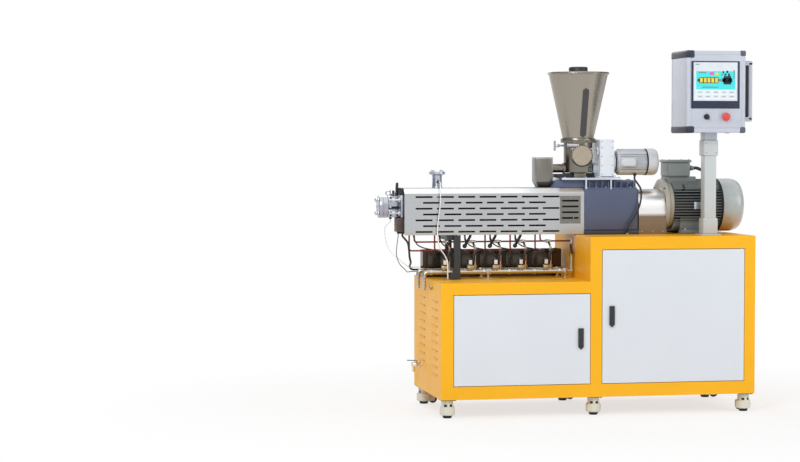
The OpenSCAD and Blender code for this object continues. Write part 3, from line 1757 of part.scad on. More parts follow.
module valve_lever() {
  z = pipe_z + riser_h * riser_lever_share;
  y = pipe_y - stand_foot_r - lever_gap;
  painted(black)
    translate([riser_x, y, z])
      rotate([0, -100, 0])
        union() {
        rod_y(lever_w / 2 + seat, lever_t, [0, -lever_t, 0]);
        block([0, -lever_t, -lever_w / 2], [lever_l, 0, lever_w / 2]);
      }
}

// Fittings on the left side: drain valve, plug and the cable glands on the deck
drain_y = 500;
drain_z = 209;
drain_r = 10;
drain_l = 46;
plug_y = 215;
plug_z = 610;
plug_r = 14;
plug_l = 12;
deck_gland_r = 9;
deck_gland_h = 8;
deck_gland_at = [[80, 228, low_h], [980, 242, high_h], [1390, 220, high_h]];
end_gland_at = [[490, 690], [505, 668], [520, 676]];
drain_stem_h = 16;

module fittings() {
  painted(brass) {
    rod_x(drain_r, drain_l, [-drain_l, drain_y, drain_z]);
    rod_z(drain_r * 0.8, drain_l * 0.8, [-drain_l + drain_r, drain_y, drain_z - drain_l * 0.8]);
    rod_z(drain_r * 0.5, drain_stem_h, [-drain_l / 2, drain_y, drain_z]);
    hex_x(plug_r, plug_l, [-plug_l, plug_y, plug_z]);
    for (at = deck_gland_at)
      rod_z(deck_gland_r, deck_gland_h, at);
    for (at = end_gland_at)
      rod_x(head_gland_r, deck_gland_h, [trough_in - deck_gland_h, at[0], at[1]]);
  }
}

module drain_lever() {
  z = drain_z + drain_stem_h + lever_gap;
  painted(black)
    translate([-drain_l / 2, drain_y, z])
      rotate([0, 0, 150])
        block([-lever_w / 2, -lever_w / 2, 0], [lever_l, lever_w / 2, lever_t]);
}

// Wiring trough: an open stainless tray along the rear of the low deck
trough_y = 475;
trough_w = 60;
trough_h = 134;
trough_t = 1.5;
trough_in = 6;

module wiring_trough() {
  painted(steel)
    difference() {
      block([trough_in, trough_y, low_h],
        [low_l - 3 * trough_in, trough_y + trough_w, low_h + trough_h]);
      block([trough_in + trough_t, trough_y + trough_t, low_h + trough_t],
        [low_l - 3 * trough_in - trough_t, trough_y + trough_w - trough_t,
        low_h + trough_h + over]);
    }
}

// Loose cables: each a swept tube between two gland faces
vent_cable_r = 3;
vent_cable = [[54, 321.5, 1111], [54, 290, 1111], [52, 262, 1098], [49, 250, 1060], [46, 248, 992],
  [38, 248, 930], [34, 248, 882], [36, 248, 831], [49, 248, 790], [68, 244, 760], [79, 234, 732],
  [80, 228, 700], [80, 228, 649]];
die_cable_r = 1.75;
die_cable = [[-184, 318, 933], [-184, 318, 922], [-200, 310, 908], [-214, 304, 890],
  [-210, 300, 831], [-189, 300, 780],
  [-153, 300, 746], [-106, 310, 708], [-80, 370, 696], [-55, 450, 692], [-32, 486, 690], [-14, 490, 690],
  [-2, 490, 690]];
grey_cable_r = 2;
grey_cable = [[-146, 318, 863], [-146, 318, 848], [-158, 300, 770], [-143, 300, 719],
  [-112, 325, 690], [-85, 400, 672], [-60, 470, 669], [-34, 500, 668], [-14, 505, 668], [-2, 505, 668]];
heater_cable_r = 5;
heater_cable = [[-124, 318, 863], [-124, 318, 850], [-102, 304, 820], [-96, 300, 785],
  [-92, 306, 750], [-80, 340, 724], [-70, 400, 712], [-62, 450, 704], [-56, 490, 694],
  [-46, 513, 681], [-32, 520, 676], [-16, 520, 676], [-2, 520, 676]];
feeder_cable_r = 4.5;
feeder_cable = [[1043.5, 330, 1137], [1043.5, 330, 1122], [1047, 290, 1100], [1051, 254, 1076],
  [1051, 245, 1041], [1045, 245, 1002], [1030, 245, 965], [1008, 245, 930], [987, 243, 900],
  [980, 242, 880], [980, 242, 861]];
motor_cable_r = 8;
motor_cable = [[1345, 327.5, 1176.5], [1362, 327.5, 1176.5], [1382, 308, 1166], [1390, 262, 1146],
  [1390, 224, 1110], [1390, 214, 1070],
  [1390, 214, 930], [1390, 220, 890], [1390, 220, 861]];
valve_cable_r = 3;
valve_cable = [[0, 280, 742.1], [0, 280, 754], [-12, 283, 771], [-50, 292, 783], [-100, 297, 794],
  [-132, 300, 812], [-148, 305, 850], [-155, 320, 900], [-155, 330, 935], [-155, 330, 951]];

module cables() {
  painted(black) {
    tube(vent_cable, vent_cable_r, 8, [1, 0, 0]);
    tube(die_cable, die_cable_r, 8, [0, 1, 1]);
    tube(grey_cable, grey_cable_r, 8, [0, 1, 1]);
    tube(heater_cable, heater_cable_r, 10, [0, 1, 1]);
    tube(feeder_cable, feeder_cable_r, 10, [1, 0, 0]);
    tube(motor_cable, motor_cable_r, 12, [1, 0, 1]);
    for (i = [0 : valve_n - 1])
      translate([valve_first_x + i * valve_pitch, 0, 0])
        tube(valve_cable, valve_cable_r, 8, [1, 0, 0]);
  }
}

frame_tubes();
deck_plates();
cabinet_panels();
control_gear();
door_low();
door_high();
latch_low();
latch_high();
caster_body_1();
caster_body_2();
caster_body_3();
caster_body_4();
caster_body_5();
caster_body_6();
caster_wheel_1();
caster_wheel_2();
caster_wheel_3();
caster_wheel_4();
caster_wheel_5();
caster_wheel_6();
levelling_feet();
barrel();
barrel_heaters();
barrel_cover();
screw_front();
screw_rear();
die_head();
die_bolts();
vent_stack();
barrel_support();
head_lever();
gearbox_housing();
coupling_guard();
motor_housing();
terminal_box();
fan_cowl();
motor_rotor();
feeder_stand();
feeder_body();
sight_glasses();
drop_box();
hopper();
hopper_lid();
gate_slide();
feed_screw();
feeder_gearbox();
feeder_motor();
screen_column();
screen_box();
touch_screen();
estop_button();
selector_knob();
water_pipes();
copper_lines();
solenoid_valves();
valve_lever();
fittings();
drain_lever();
wiring_trough();
cables();
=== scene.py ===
import bpy
import bmesh
import math
from mathutils import Matrix, Vector


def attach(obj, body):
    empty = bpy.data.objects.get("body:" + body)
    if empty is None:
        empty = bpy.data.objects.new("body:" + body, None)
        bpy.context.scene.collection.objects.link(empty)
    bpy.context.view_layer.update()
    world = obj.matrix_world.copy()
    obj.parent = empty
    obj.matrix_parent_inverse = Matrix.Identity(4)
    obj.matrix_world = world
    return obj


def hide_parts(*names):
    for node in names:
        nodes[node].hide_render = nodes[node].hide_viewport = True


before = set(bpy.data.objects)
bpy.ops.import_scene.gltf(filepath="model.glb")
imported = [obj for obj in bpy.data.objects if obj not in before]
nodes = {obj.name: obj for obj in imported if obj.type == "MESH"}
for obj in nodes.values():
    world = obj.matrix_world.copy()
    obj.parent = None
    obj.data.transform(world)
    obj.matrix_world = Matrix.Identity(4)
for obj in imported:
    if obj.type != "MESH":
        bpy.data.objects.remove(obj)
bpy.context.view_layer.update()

mm = 0.001
rowShift = Vector((-0.667, -0.32585, 0.0))   # cabinet's front left corner, as seen from the row's origin
lowDeck, highDeck = 641, 853
axisY, axisZ = 360, 993   # line of the barrel, the gearbox and the motor


def at(x, y, z):
    return Vector((x, y, z)) * mm + rowShift


def shade(code):
    values = [int(code[k:k + 2], 16) / 255 for k in (1, 3, 5)]
    return [v / 12.92 if v <= 0.04045 else ((v + 0.055) / 1.055) ** 2.4 for v in values] + [1.0]


def show(thing):
    bpy.context.scene.collection.objects.link(thing)
    return thing


# Camera, where the photograph was taken from
camera = dict(place=(-1964.2, -9438.4, 1285.2), tilt=87.637, turn=-10.609, lens=92.6, sensor=36, reach=100)
cameraData = bpy.data.cameras.new("camera")
cameraData.lens = camera["lens"]
cameraData.sensor_width = camera["sensor"]
cameraData.clip_end = camera["reach"]
cameraObject = show(bpy.data.objects.new("camera", cameraData))
cameraObject.location = at(*camera["place"])
cameraObject.rotation_euler = (math.radians(camera["tilt"]), 0, math.radians(camera["turn"]))
bpy.context.scene.camera = cameraObject
bpy.context.scene.view_settings.view_transform = "Standard"

# Loose cables, each on the route of its solid
cableRoutes = dict(
    vent=([(54, 321.5, 1111), (54, 290, 1111), (52, 262, 1098), (49, 250, 1060), (46, 248, 992),
           (38, 248, 930), (34, 248, 882), (36, 248, 831), (49, 248, 790), (68, 244, 760), (79, 234, 732),
           (80, 228, 700), (80, 228, 649)], 6, "#F2F3F2", "limp"),
    die=([(-184, 318, 933), (-184, 318, 922), (-200, 310, 908), (-214, 304, 890), (-210, 300, 831),
          (-189, 300, 780), (-153, 300, 746), (-106, 310, 708), (-80, 370, 696), (-55, 450, 692),
          (-32, 486, 690), (-14, 490, 690), (-2, 490, 690)], 3.5, "#ECECE8", "limp"),
    sensor=([(-146, 318, 863), (-146, 318, 848), (-158, 300, 770), (-143, 300, 719), (-112, 325, 690),
             (-85, 400, 672), (-60, 470, 669), (-34, 500, 668), (-14, 505, 668), (-2, 505, 668)],
            4, "#5F6468", "limp"),
    heater=([(-124, 318, 863), (-124, 318, 850), (-102, 304, 820), (-96, 300, 785), (-92, 306, 750),
             (-80, 340, 724), (-70, 400, 712), (-62, 450, 704), (-56, 490, 694), (-46, 513, 681),
             (-32, 520, 676), (-16, 520, 676), (-2, 520, 676)],
            10, "#1B1C20", "medium"),
    feeder=([(1043.5, 330, 1137), (1043.5, 330, 1122), (1047, 290, 1100), (1051, 254, 1076),
             (1051, 245, 1041), (1045, 245, 1002), (1030, 245, 965), (1008, 245, 930), (987, 243, 900),
             (980, 242, 880), (980, 242, 861)], 9, "#1B1C20", "medium"),
    motor=([(1345, 327.5, 1176.5), (1362, 327.5, 1176.5), (1382, 308, 1166), (1390, 262, 1146),
            (1390, 224, 1110), (1390, 214, 1070), (1390, 214, 930), (1390, 220, 890), (1390, 220, 861)],
           16, "#26282C", "stiff"))
valveRoute = [(0, 280, 742.1), (0, 280, 754), (-12, 283, 771), (-50, 292, 783), (-100, 297, 794),
              (-132, 300, 812), (-148, 305, 850), (-155, 320, 900), (-155, 330, 935), (-155, 330, 951)]
valves = dict(first=75, pitch=126, count=5, y=280, outlet=25)
for index in range(valves["count"]):
    shift = valves["first"] + index * valves["pitch"]
    route = [(x + shift, y, z) for x, y, z in valveRoute]
    cableRoutes["valve%d" % (index + 1)] = (route, 6, "#1B1C20", "limp")
print("camera and cable routes set")


# Materials
def startMaterial(name):
    material = bpy.data.materials.new(name)
    material.use_nodes = True
    tree = material.node_tree
    return material, tree, tree.nodes["Principled BSDF"], objectSpot(tree)


def objectSpot(tree):
    return tree.nodes.new("ShaderNodeTexCoord").outputs["Object"]


def mathNode(tree, operation, first, second=None):
    node = tree.nodes.new("ShaderNodeMath")
    node.operation = operation
    for socket, value in zip(node.inputs, (first, second)):
        if isinstance(value, (int, float)):
            socket.default_value = value
        elif value is not None:
            tree.links.new(value, socket)
    return node.outputs[0]


def axesOf(tree, vector):
    parts = tree.nodes.new("ShaderNodeSeparateXYZ")
    tree.links.new(vector, parts.inputs[0])
    return parts.outputs


def noiseField(tree, vector, scale, detail=4.0, stretch=None):
    if stretch:
        mapping = tree.nodes.new("ShaderNodeMapping")
        mapping.inputs["Scale"].default_value = stretch
        tree.links.new(vector, mapping.inputs["Vector"])
        vector = mapping.outputs["Vector"]
    noise = tree.nodes.new("ShaderNodeTexNoise")
    noise.inputs["Scale"].default_value = scale
    noise.inputs["Detail"].default_value = detail
    tree.links.new(vector, noise.inputs["Vector"])
    return noise.outputs["Fac"]


def rangeOf(tree, value, low, high, fromLow=0.3, fromHigh=0.7):
    remap = tree.nodes.new("ShaderNodeMapRange")
    for socket, number in (("From Min", fromLow), ("From Max", fromHigh), ("To Min", low), ("To Max", high)):
        remap.inputs[socket].default_value = number
    tree.links.new(value, remap.inputs["Value"])
    return remap.outputs["Result"]


def blendColours(tree, value, first, second):
    mix = tree.nodes.new("ShaderNodeMix")
    mix.data_type = "RGBA"
    for socket, colour in ((mix.inputs[6], first), (mix.inputs[7], second)):
        if isinstance(colour, (list, tuple)):
            socket.default_value = colour
        else:
            tree.links.new(colour, socket)
    tree.links.new(value, mix.inputs[0])
    return mix.outputs[2]


def dimmed(code, share):
    return [v * share for v in shade(code)[:3]] + [1.0]


def mottled(tree, field, colour, tone, low=0.0, high=1.0):   # darker by tone where the field is low
    return blendColours(tree, rangeOf(tree, field, low, high), dimmed(colour, tone), shade(colour))


def setSurface(tree, shader, base, rough, **fixed):
    tree.links.new(base, shader.inputs["Base Color"])
    tree.links.new(rough, shader.inputs["Roughness"])
    for name, value in fixed.items():
        shader.inputs[name.replace("_", " ")].default_value = value


def addBumps(tree, shader, height, strength, distance):
    bump = tree.nodes.new("ShaderNodeBump")
    bump.inputs["Strength"].default_value = strength
    bump.inputs["Distance"].default_value = distance
    tree.links.new(height, bump.inputs["Height"])
    tree.links.new(bump.outputs["Normal"], shader.inputs["Normal"])


def paint(name, colour, rough=0.38, tone=0.93, peel=0.12, coat=0.15, gloss=0.5):
    material, tree, shader, spot = startMaterial(name)
    sheen = rangeOf(tree, noiseField(tree, spot, 9.0), rough - 0.05, rough + 0.08)
    setSurface(tree, shader, mottled(tree, noiseField(tree, spot, 2.2, 3.0), colour, tone), sheen,
               Specular_IOR_Level=gloss, Coat_Weight=coat, Coat_Roughness=0.25)
    addBumps(tree, shader, noiseField(tree, spot, 420.0, 2.0), peel, 0.0002)
    return material


def brushed(name, colour, rough=0.3, stretch=(2.0, 160.0, 160.0), tone=0.88, metal=1.0, bumps=0.05):
    material, tree, shader, spot = startMaterial(name)
    lines = noiseField(tree, spot, 3.0, 5.0, stretch)
    cloud = rangeOf(tree, noiseField(tree, spot, 5.0, 3.0), 0.0, 0.3)
    clouded = blendColours(tree, cloud, mottled(tree, lines, colour, tone), dimmed(colour, tone * 0.92))
    setSurface(tree, shader, clouded, rangeOf(tree, lines, rough - 0.04, rough + 0.06), Metallic=metal)
    addBumps(tree, shader, lines, bumps, 0.0003)
    return material


def machined(name, colour, rough=0.35, metal=1.0, scale=700.0, tone=0.86, bumps=0.04):
    material, tree, shader, spot = startMaterial(name)
    grain = noiseField(tree, spot, scale, 3.0)
    cloud = noiseField(tree, spot, 9.0, 3.0)
    clouded = blendColours(tree, rangeOf(tree, cloud, 0.0, 0.5), mottled(tree, grain, colour, tone),
                           dimmed(colour, tone * 0.9))
    setSurface(tree, shader, clouded, rangeOf(tree, cloud, rough - 0.05, rough + 0.07), Metallic=metal)
    addBumps(tree, shader, grain, bumps, 0.0001)
    return material


def moulded(name, colour, rough=0.45, grain=260.0, tone=0.85, bumps=0.1):
    material, tree, shader, spot = startMaterial(name)
    fine = noiseField(tree, spot, grain, 3.0)
    setSurface(tree, shader, mottled(tree, noiseField(tree, spot, 14.0, 3.0), colour, tone),
               rangeOf(tree, fine, rough - 0.06, rough + 0.1))
    addBumps(tree, shader, fine, bumps, 0.0002)
    return material


def glazed(name, colour, rough=0.08, tone=0.7):
    material, tree, shader, spot = startMaterial(name)
    setSurface(tree, shader, mottled(tree, noiseField(tree, spot, 8.0, 3.0), colour, tone),
               rangeOf(tree, noiseField(tree, spot, 30.0), rough, rough + 0.06),
               Coat_Weight=0.6, Coat_Roughness=0.05)
    return material


def lit(name, colour, strength=0.12):
    material, tree, shader, spot = startMaterial(name)
    cloud = noiseField(tree, spot, 40.0, 2.0)
    tone = mottled(tree, cloud, colour, 0.94)
    setSurface(tree, shader, tone, rangeOf(tree, cloud, 0.12, 0.2), Emission_Strength=strength)
    tree.links.new(tone, shader.inputs["Emission Color"])
    return material


yellowPaint = paint("yellowPaint", "#FCB81C", coat=0.0, gloss=0.28)
doorPaint = paint("doorPaint", "#DCE1E8", rough=0.42, tone=0.97)
bluePaint = paint("bluePaint", "#4F5A77", rough=0.34, tone=0.86)
plinthPaint = paint("plinthPaint", "#2C3242", rough=0.45, tone=0.85)
motorPaint = paint("motorPaint", "#747B7B", rough=0.34, tone=0.9)
# the motor paint made darker, as painted shade between the fins; also used on the eye and the shield's bolts
motorPaintedShade = paint("motorPaintedShade", "#34383A", rough=0.5, tone=0.84)
shieldPaint = paint("shieldPaint", "#B3AEA2", rough=0.36, tone=0.88)
cowlPaint = paint("cowlPaint", "#A9B0B1", rough=0.22, tone=0.95, coat=1.0)
boxPaint = paint("boxPaint", "#7F8787", rough=0.34, tone=0.9)
caseWhite = paint("caseWhite", "#E0E7F0", rough=0.32, tone=0.95)
feederSilver = paint("feederSilver", "#D2D6DB", rough=0.24, tone=0.9, coat=0.5)
columnPaint = paint("columnPaint", "#C6CCCD", rough=0.35, tone=0.94)
consoleAluminium = paint("consoleAluminium", "#C5CBD8", rough=0.3, tone=0.94)
supportPaint = paint("supportPaint", "#2B2D31", rough=0.45, tone=0.8)
coverSteel = brushed("coverSteel", "#C6C9CC", rough=0.3, stretch=(2.0, 160.0, 220.0), tone=0.93, bumps=0.03)
guardSteel = brushed("guardSteel", "#FCFCFA", rough=0.3, stretch=(2.0, 220.0, 220.0), tone=0.96, bumps=0.004)
hopperSteel = brushed("hopperSteel", "#A49D91", rough=0.28, stretch=(160.0, 160.0, 2.0), tone=0.93,
                      bumps=0.02)
drumSteel = brushed("drumSteel", "#888379", rough=0.26, stretch=(30.0, 30.0, 160.0), tone=0.9, bumps=0.02)
dropSteel = brushed("dropSteel", "#8A8780", rough=0.3, stretch=(160.0, 160.0, 3.0), tone=0.9, bumps=0.02)
troughSteel = brushed("troughSteel", "#544C44", rough=0.2, stretch=(2.0, 160.0, 160.0), tone=0.8)
plateSteel = brushed("plateSteel", "#D3D9E4", rough=0.34, stretch=(3.0, 90.0, 90.0), tone=0.92)
lidSteel = brushed("lidSteel", "#B4B1AB", rough=0.32, stretch=(60.0, 60.0, 3.0), tone=0.86)
dieSteel = machined("dieSteel", "#B7BBC5", rough=0.26)
boltSteel = machined("boltSteel", "#CDD0D8", rough=0.2)
ventSteel = machined("ventSteel", "#D3DAE6", rough=0.3)
screwSteel = machined("screwSteel", "#B9BCC0", rough=0.22)
darkIron = machined("darkIron", "#303236", rough=0.5, metal=0.6, tone=0.75)
heaterBand = machined("heaterBand", "#35322F", rough=0.55, tone=0.75, metal=0.5)
pipeSteel = machined("pipeSteel", "#CBC4B8", rough=0.24)
brassMetal = machined("brassMetal", "#CBB893", rough=0.26)
riserTube = machined("riserTube", "#C9A48C", rough=0.3, tone=0.9)
unionNickel = machined("unionNickel", "#E9E6DC", rough=0.22, tone=0.95)
copperMetal = machined("copperMetal", "#9C4A3C", rough=0.36, tone=0.8, metal=0.75)
windowGlass = machined("windowGlass", "#BBB09C", rough=0.28, scale=90.0, tone=0.9, metal=0.7)
blackPlastic = moulded("blackPlastic", "#26282D")
handleBlack = moulded("handleBlack", "#1E1F23", rough=0.6, grain=500.0)
hoseRubber = moulded("hoseRubber", "#1D1E21", rough=0.42, tone=0.7)
ivoryPlastic = moulded("ivoryPlastic", "#E4E1D3", rough=0.5, tone=0.9)
wheelNylon = moulded("wheelNylon", "#2A2725", rough=0.5)
redPlastic = moulded("redPlastic", "#E2493F", rough=0.3, tone=0.9)
capNavy = moulded("capNavy", "#272E40", rough=0.44)
capGrey = moulded("capGrey", "#5A5E70", rough=0.44)
bezelNavy = moulded("bezelNavy", "#1E2A44", rough=0.36)
boxBrown = moulded("boxBrown", "#54453C", rough=0.5)
coilWhite = moulded("coilWhite", "#E9E7E2", rough=0.4)
switchGrey = moulded("switchGrey", "#8F959B", rough=0.5)
leverBlue = moulded("leverBlue", "#5C6B8C", rough=0.45)
# near-black, as painted shade in gaps, holes and behind slots
paintedGapShade = moulded("paintedGapShade", "#141518", rough=0.8)
footRubber = moulded("footRubber", "#1F2022", rough=0.7)
stripGlass = glazed("stripGlass", "#2E2E30")
displayTones = [   # frame, field, bar, barrel, motor, accent and line
    lit("displayFrame", "#DDE3EA", 0.05), lit("displayField", "#45DDE0"), lit("displayBar", "#E9F4F6"),
    lit("displayBarrel", "#E6CF3C"), lit("displayMotor", "#1E3440", 0.05), lit("displayAccent", "#D95BA8"),
    lit("displayLine", "#7F8990", 0.04)]


def paintOver(tree, shader, share, colour):
    base = shader.inputs["Base Color"].links[0].from_socket
    tree.links.new(blendColours(tree, share, base, shade(colour)), shader.inputs["Base Color"])


def paintInside(material, boxes, colour, metal=0.1):
    tree = material.node_tree
    shader = tree.nodes["Principled BSDF"]
    spot = objectSpot(tree)
    within = None
    for low, high in boxes:
        where = spot
        centre, half = (at(*low) + at(*high)) / 2, (at(*high) - at(*low)) / 2
        for operation, value in (("SUBTRACT", centre), ("DIVIDE", half), ("ABSOLUTE", None)):
            node = tree.nodes.new("ShaderNodeVectorMath")
            node.operation = operation
            tree.links.new(where, node.inputs[0])
            if value is not None:
                node.inputs[1].default_value = value
            where = node.outputs[0]
        x, y, z = axesOf(tree, where)
        farthest = mathNode(tree, "MAXIMUM", mathNode(tree, "MAXIMUM", x, y), z)
        inside = mathNode(tree, "LESS_THAN", farthest, 1.0)
        within = inside if within is None else mathNode(tree, "MAXIMUM", within, inside)
    paintOver(tree, shader, within, colour)
    tree.links.new(rangeOf(tree, within, 1.0, metal, 0.0, 1.0), shader.inputs["Metallic"])


def tintBeyond(material, full, none, colour):   # full tint at one height, none at the other
    tree = material.node_tree
    height = axesOf(tree, objectSpot(tree))[2]
    beyond = rangeOf(tree, height, 1.0, 0.0, full * mm, none * mm)
    paintOver(tree, tree.nodes["Principled BSDF"], beyond, colour)


for material, full, none, colour in (
        # coupling guard: painted reflection, brown, low down; painted shade on the top of its arch
        (guardSteel, 940, 958, "#8C7963"), (guardSteel, 1070, 1050, "#A9ABAC"),
        # fan cowl: painted reflection of the deck, brown, low down; barrel cover: warmer towards its lower
        # edge
        (cowlPaint, 880, 975, "#BF9A68"), (coverSteel, 856, 890, "#C2BEB6"),
        # barrel cover: painted highlight along its top fold; painted shade on its top face
        (coverSteel, 1060, 1054, "#E3E6E9"), (coverSteel, 1082.6, 1078, "#8D9092"),
        # drop box: painted shade on its taper; feeder motor: painted reflection of the deck, low down
        (dropSteel, 1090, 1112, "#3B352D"), (feederSilver, 1142, 1180, "#C6AE80"),
        (dropSteel, 1224, 1222, "#B9B7B2")):
    tintBeyond(material, full, none, colour)
ventPlateFace = (((645, 259.5, 908), (749, 262.3, 1043)),)
coverInsideShade = (((-123.4, 262.5, 840), (765.5, 457.5, 1056)), ((-123.4, 289, 840), (765.5, 431, 1082)))
paintInside(coverSteel, ventPlateFace, "#86857F", metal=1.0)
# the cover's inner faces are painted near-black: painted shade inside the cover
paintInside(coverSteel, coverInsideShade, "#0B0B0C")
print("materials made")


# Shapes, in the cabinet's millimetres
def around(count, first=0.0):   # cosine and sine of evenly spaced turns
    turns = (math.radians(first) + 2 * math.pi * k / count for k in range(count))
    return [(math.cos(a), math.sin(a)) for a in turns]


def bridge(shape, first, second):   # a closed band of faces between two rings
    for k in range(len(first)):
        n = (k + 1) % len(first)
        shape.faces.new([first[k], first[n], second[n], second[k]])


def addBox(shape, low, high, edge=1.5, segments=2):
    made = bmesh.ops.create_cube(shape, size=1.0)["verts"]
    size = [h - l for l, h in zip(low, high)]
    for vert in made:
        for axis in range(3):
            vert.co[axis] = low[axis] + (vert.co[axis] + 0.5) * size[axis]
    bevelEdges(shape, made, min(edge, min(size) * 0.45), segments)


def bevelEdges(shape, parts, edge, segments=2):
    if edge > 0:
        edges = list({e for part in parts for e in getattr(part, "link_edges", None) or part.edges})
        bmesh.ops.bevel(shape, geom=edges, offset=edge, segments=segments, profile=0.5, affect="EDGES")


def addPost(shape, x, y, half, low, high, edge, segments=2):   # a square box round an upright line
    addBox(shape, (x - half, y - half, low), (x + half, y + half, high), edge, segments)


def addTurnedBox(shape, low, high, edge, place, degrees, axis):
    turned = bmesh.new()
    addBox(turned, low, high, edge, 3)
    turn = Matrix.Translation(place) @ Matrix.Rotation(math.radians(degrees), 4, axis)
    bmesh.ops.transform(turned, matrix=turn, verts=turned.verts)
    mesh = bpy.data.meshes.new("turnedBox")
    turned.to_mesh(mesh)
    turned.free()
    shape.from_mesh(mesh)
    bpy.data.meshes.remove(mesh)


def frameOf(direction):
    forward = Vector(direction).normalized()
    side = forward.cross(Vector((0, 0, 1)) if abs(forward.z) < 0.9 else Vector((1, 0, 0))).normalized()
    return forward, side, side.cross(forward)


def ringAt(shape, centre, radius, side, up, sides):
    return [shape.verts.new(centre + radius * (side * c + up * s)) for c, s in around(sides)]


def addLathe(shape, origin, direction, profile, sides=48, closed=False):   # profile: along and radius
    forward, side, up = frameOf(direction)
    origin = Vector(origin)
    rings = []
    for along, radius in profile:
        centre = origin + forward * along
        pole = radius < 0.001
        rings.append([shape.verts.new(centre)] if pole else ringAt(shape, centre, radius, side, up, sides))
    pairs = list(zip(rings, rings[1:])) + ([(rings[-1], rings[0])] if closed else [])
    for first, second in pairs:
        for k in range(sides):
            n = (k + 1) % sides
            corners = [first[k % len(first)], first[n % len(first)], second[n % len(second)],
                       second[k % len(second)]]
            loop = list(dict.fromkeys(corners))
            if len(loop) > 2:
                shape.faces.new(loop)


def addRod(shape, start, end, radius, sides=24, edge=0.6, endRadius=None):
    start, end = Vector(start), Vector(end)
    length = (end - start).length
    last = radius if endRadius is None else endRadius
    edge = min(edge, length * 0.3, radius * 0.5, last * 0.5)
    profile = [(0, 0), (0, radius - edge), (edge, radius), (length - edge, last), (length, last - edge),
               (length, 0)]
    addLathe(shape, start, end - start, profile, sides)


def addRods(shape, place, direction, rods):   # rods on one line: from, to, then what addRod takes
    place, direction = Vector(place), Vector(direction)
    for start, end, *form in rods:
        addRod(shape, place + direction * start, place + direction * end, *form)


def addSpokes(shape, x, inner, outer, first, *form):   # eight rods square to the motor's line
    for c, s in around(8, first):
        addRods(shape, (x, axisY, axisZ), (0, c, s), [(inner, outer, *form)])


def addTube(shape, points, radius, sides=16):
    points = [Vector(p) for p in points]
    side = frameOf(points[1] - points[0])[1]
    rings = []
    for before, point, after in zip(points[:1] + points, points, points[1:] + points[-1:]):
        ahead = (after - before).normalized()
        side = (side - ahead * side.dot(ahead)).normalized()
        rings.append(ringAt(shape, point, radius, side, side.cross(ahead), sides))
    for first, second in zip(rings, rings[1:]):
        bridge(shape, first, second)
    shape.faces.new(rings[0])
    shape.faces.new(rings[-1])


def smoothPath(points, steps=6):
    points = [Vector(p) for p in points]
    padded = [2 * points[0] - points[1]] + points + [2 * points[-1] - points[-2]]
    path = []
    for a, b, c, d in zip(padded, padded[1:], padded[2:], padded[3:]):
        for k in range(steps):
            t = k / steps
            path.append(0.5 * (2 * b + (c - a) * t + (2 * a - 5 * b + 4 * c - d) * t * t
                               + (3 * b - a - 3 * c + d) * t ** 3))
    return path + [points[-1]]


def roundedPath(points, radius, steps=6):
    points = [Vector(p) for p in points]
    path = [points[0]]
    for before, corner, after in zip(points, points[1:], points[2:]):
        start = corner + (before - corner).normalized() * radius
        end = corner + (after - corner).normalized() * radius
        for k in range(steps + 1):
            t = k / steps
            path.append((1 - t) ** 2 * start + 2 * t * (1 - t) * corner + t * t * end)
    return path + [points[-1]]


def addPrism(shape, outline, origin, direction, length, across, edge=0.0):
    direction, across = Vector(direction).normalized(), Vector(across).normalized()
    other = direction.cross(across)
    low = [shape.verts.new(Vector(origin) + across * u + other * v) for u, v in outline]
    high = [shape.verts.new(vert.co + direction * length) for vert in low]
    made = [shape.faces.new(low), shape.faces.new(high)]
    for k in range(len(low)):
        n = (k + 1) % len(low)
        made.append(shape.faces.new([low[k], low[n], high[n], high[k]]))
    if edge > 0:
        bmesh.ops.recalc_face_normals(shape, faces=made)
        bevelEdges(shape, made, edge)


def addTorus(shape, centre, direction, major, minor, sides=40, tubeSides=10):
    profile = [(minor * s, major + minor * c) for c, s in around(tubeSides)]
    addLathe(shape, centre, direction, profile, sides, closed=True)


def makePiece(name, shape, material, body="machine", replaces=(), sharp=32):
    bmesh.ops.recalc_face_normals(shape, faces=shape.faces)
    mesh = bpy.data.meshes.new(name)
    shape.to_mesh(mesh)
    shape.free()
    mesh.transform(Matrix.Translation(rowShift) @ Matrix.Scale(mm, 4))
    return placePiece(name, mesh, material, body, replaces, sharp)


def placePiece(name, mesh, material, body, replaces, sharp=32):
    mesh.shade_smooth()
    mesh.set_sharp_from_angle(angle=math.radians(sharp))
    if not mesh.materials:
        for one in (material if isinstance(material, (list, tuple)) else [material]):
            mesh.materials.append(one)
    piece = show(bpy.data.objects.new(name, mesh))
    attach(piece, body)
    if replaces:
        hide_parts(*replaces)
    return piece


# Geometry Nodes: each tree sets its shape on a row or on points, and ends in real geometry with a material
def startTree(name, sockets):
    tree = bpy.data.node_groups.new(name, "GeometryNodeTree")
    tree.interface.new_socket("Geometry", in_out="INPUT", socket_type="NodeSocketGeometry")
    for label, kind, value in sockets + [("Material", "Material", None)]:
        socket = tree.interface.new_socket(label, in_out="INPUT", socket_type="NodeSocket" + kind)
        if value is not None:
            socket.default_value = value
    tree.interface.new_socket("Geometry", in_out="OUTPUT", socket_type="NodeSocketGeometry")
    return tree, tree.nodes.new("NodeGroupInput"), tree.nodes.new("NodeGroupOutput")


def feed(tree, node, **sources):   # links outputs to a node's named inputs
    for name, source in sources.items():
        tree.links.new(source, node.inputs[name.replace("_", " ")])
    return node


def finishTree(tree, start, end, geometry):
    realize = feed(tree, tree.nodes.new("GeometryNodeRealizeInstances"), Geometry=geometry)
    coated = feed(tree, tree.nodes.new("GeometryNodeSetMaterial"), Geometry=realize.outputs["Geometry"],
                  Material=start.outputs["Material"])
    tree.links.new(coated.outputs["Geometry"], end.inputs["Geometry"])
    return tree


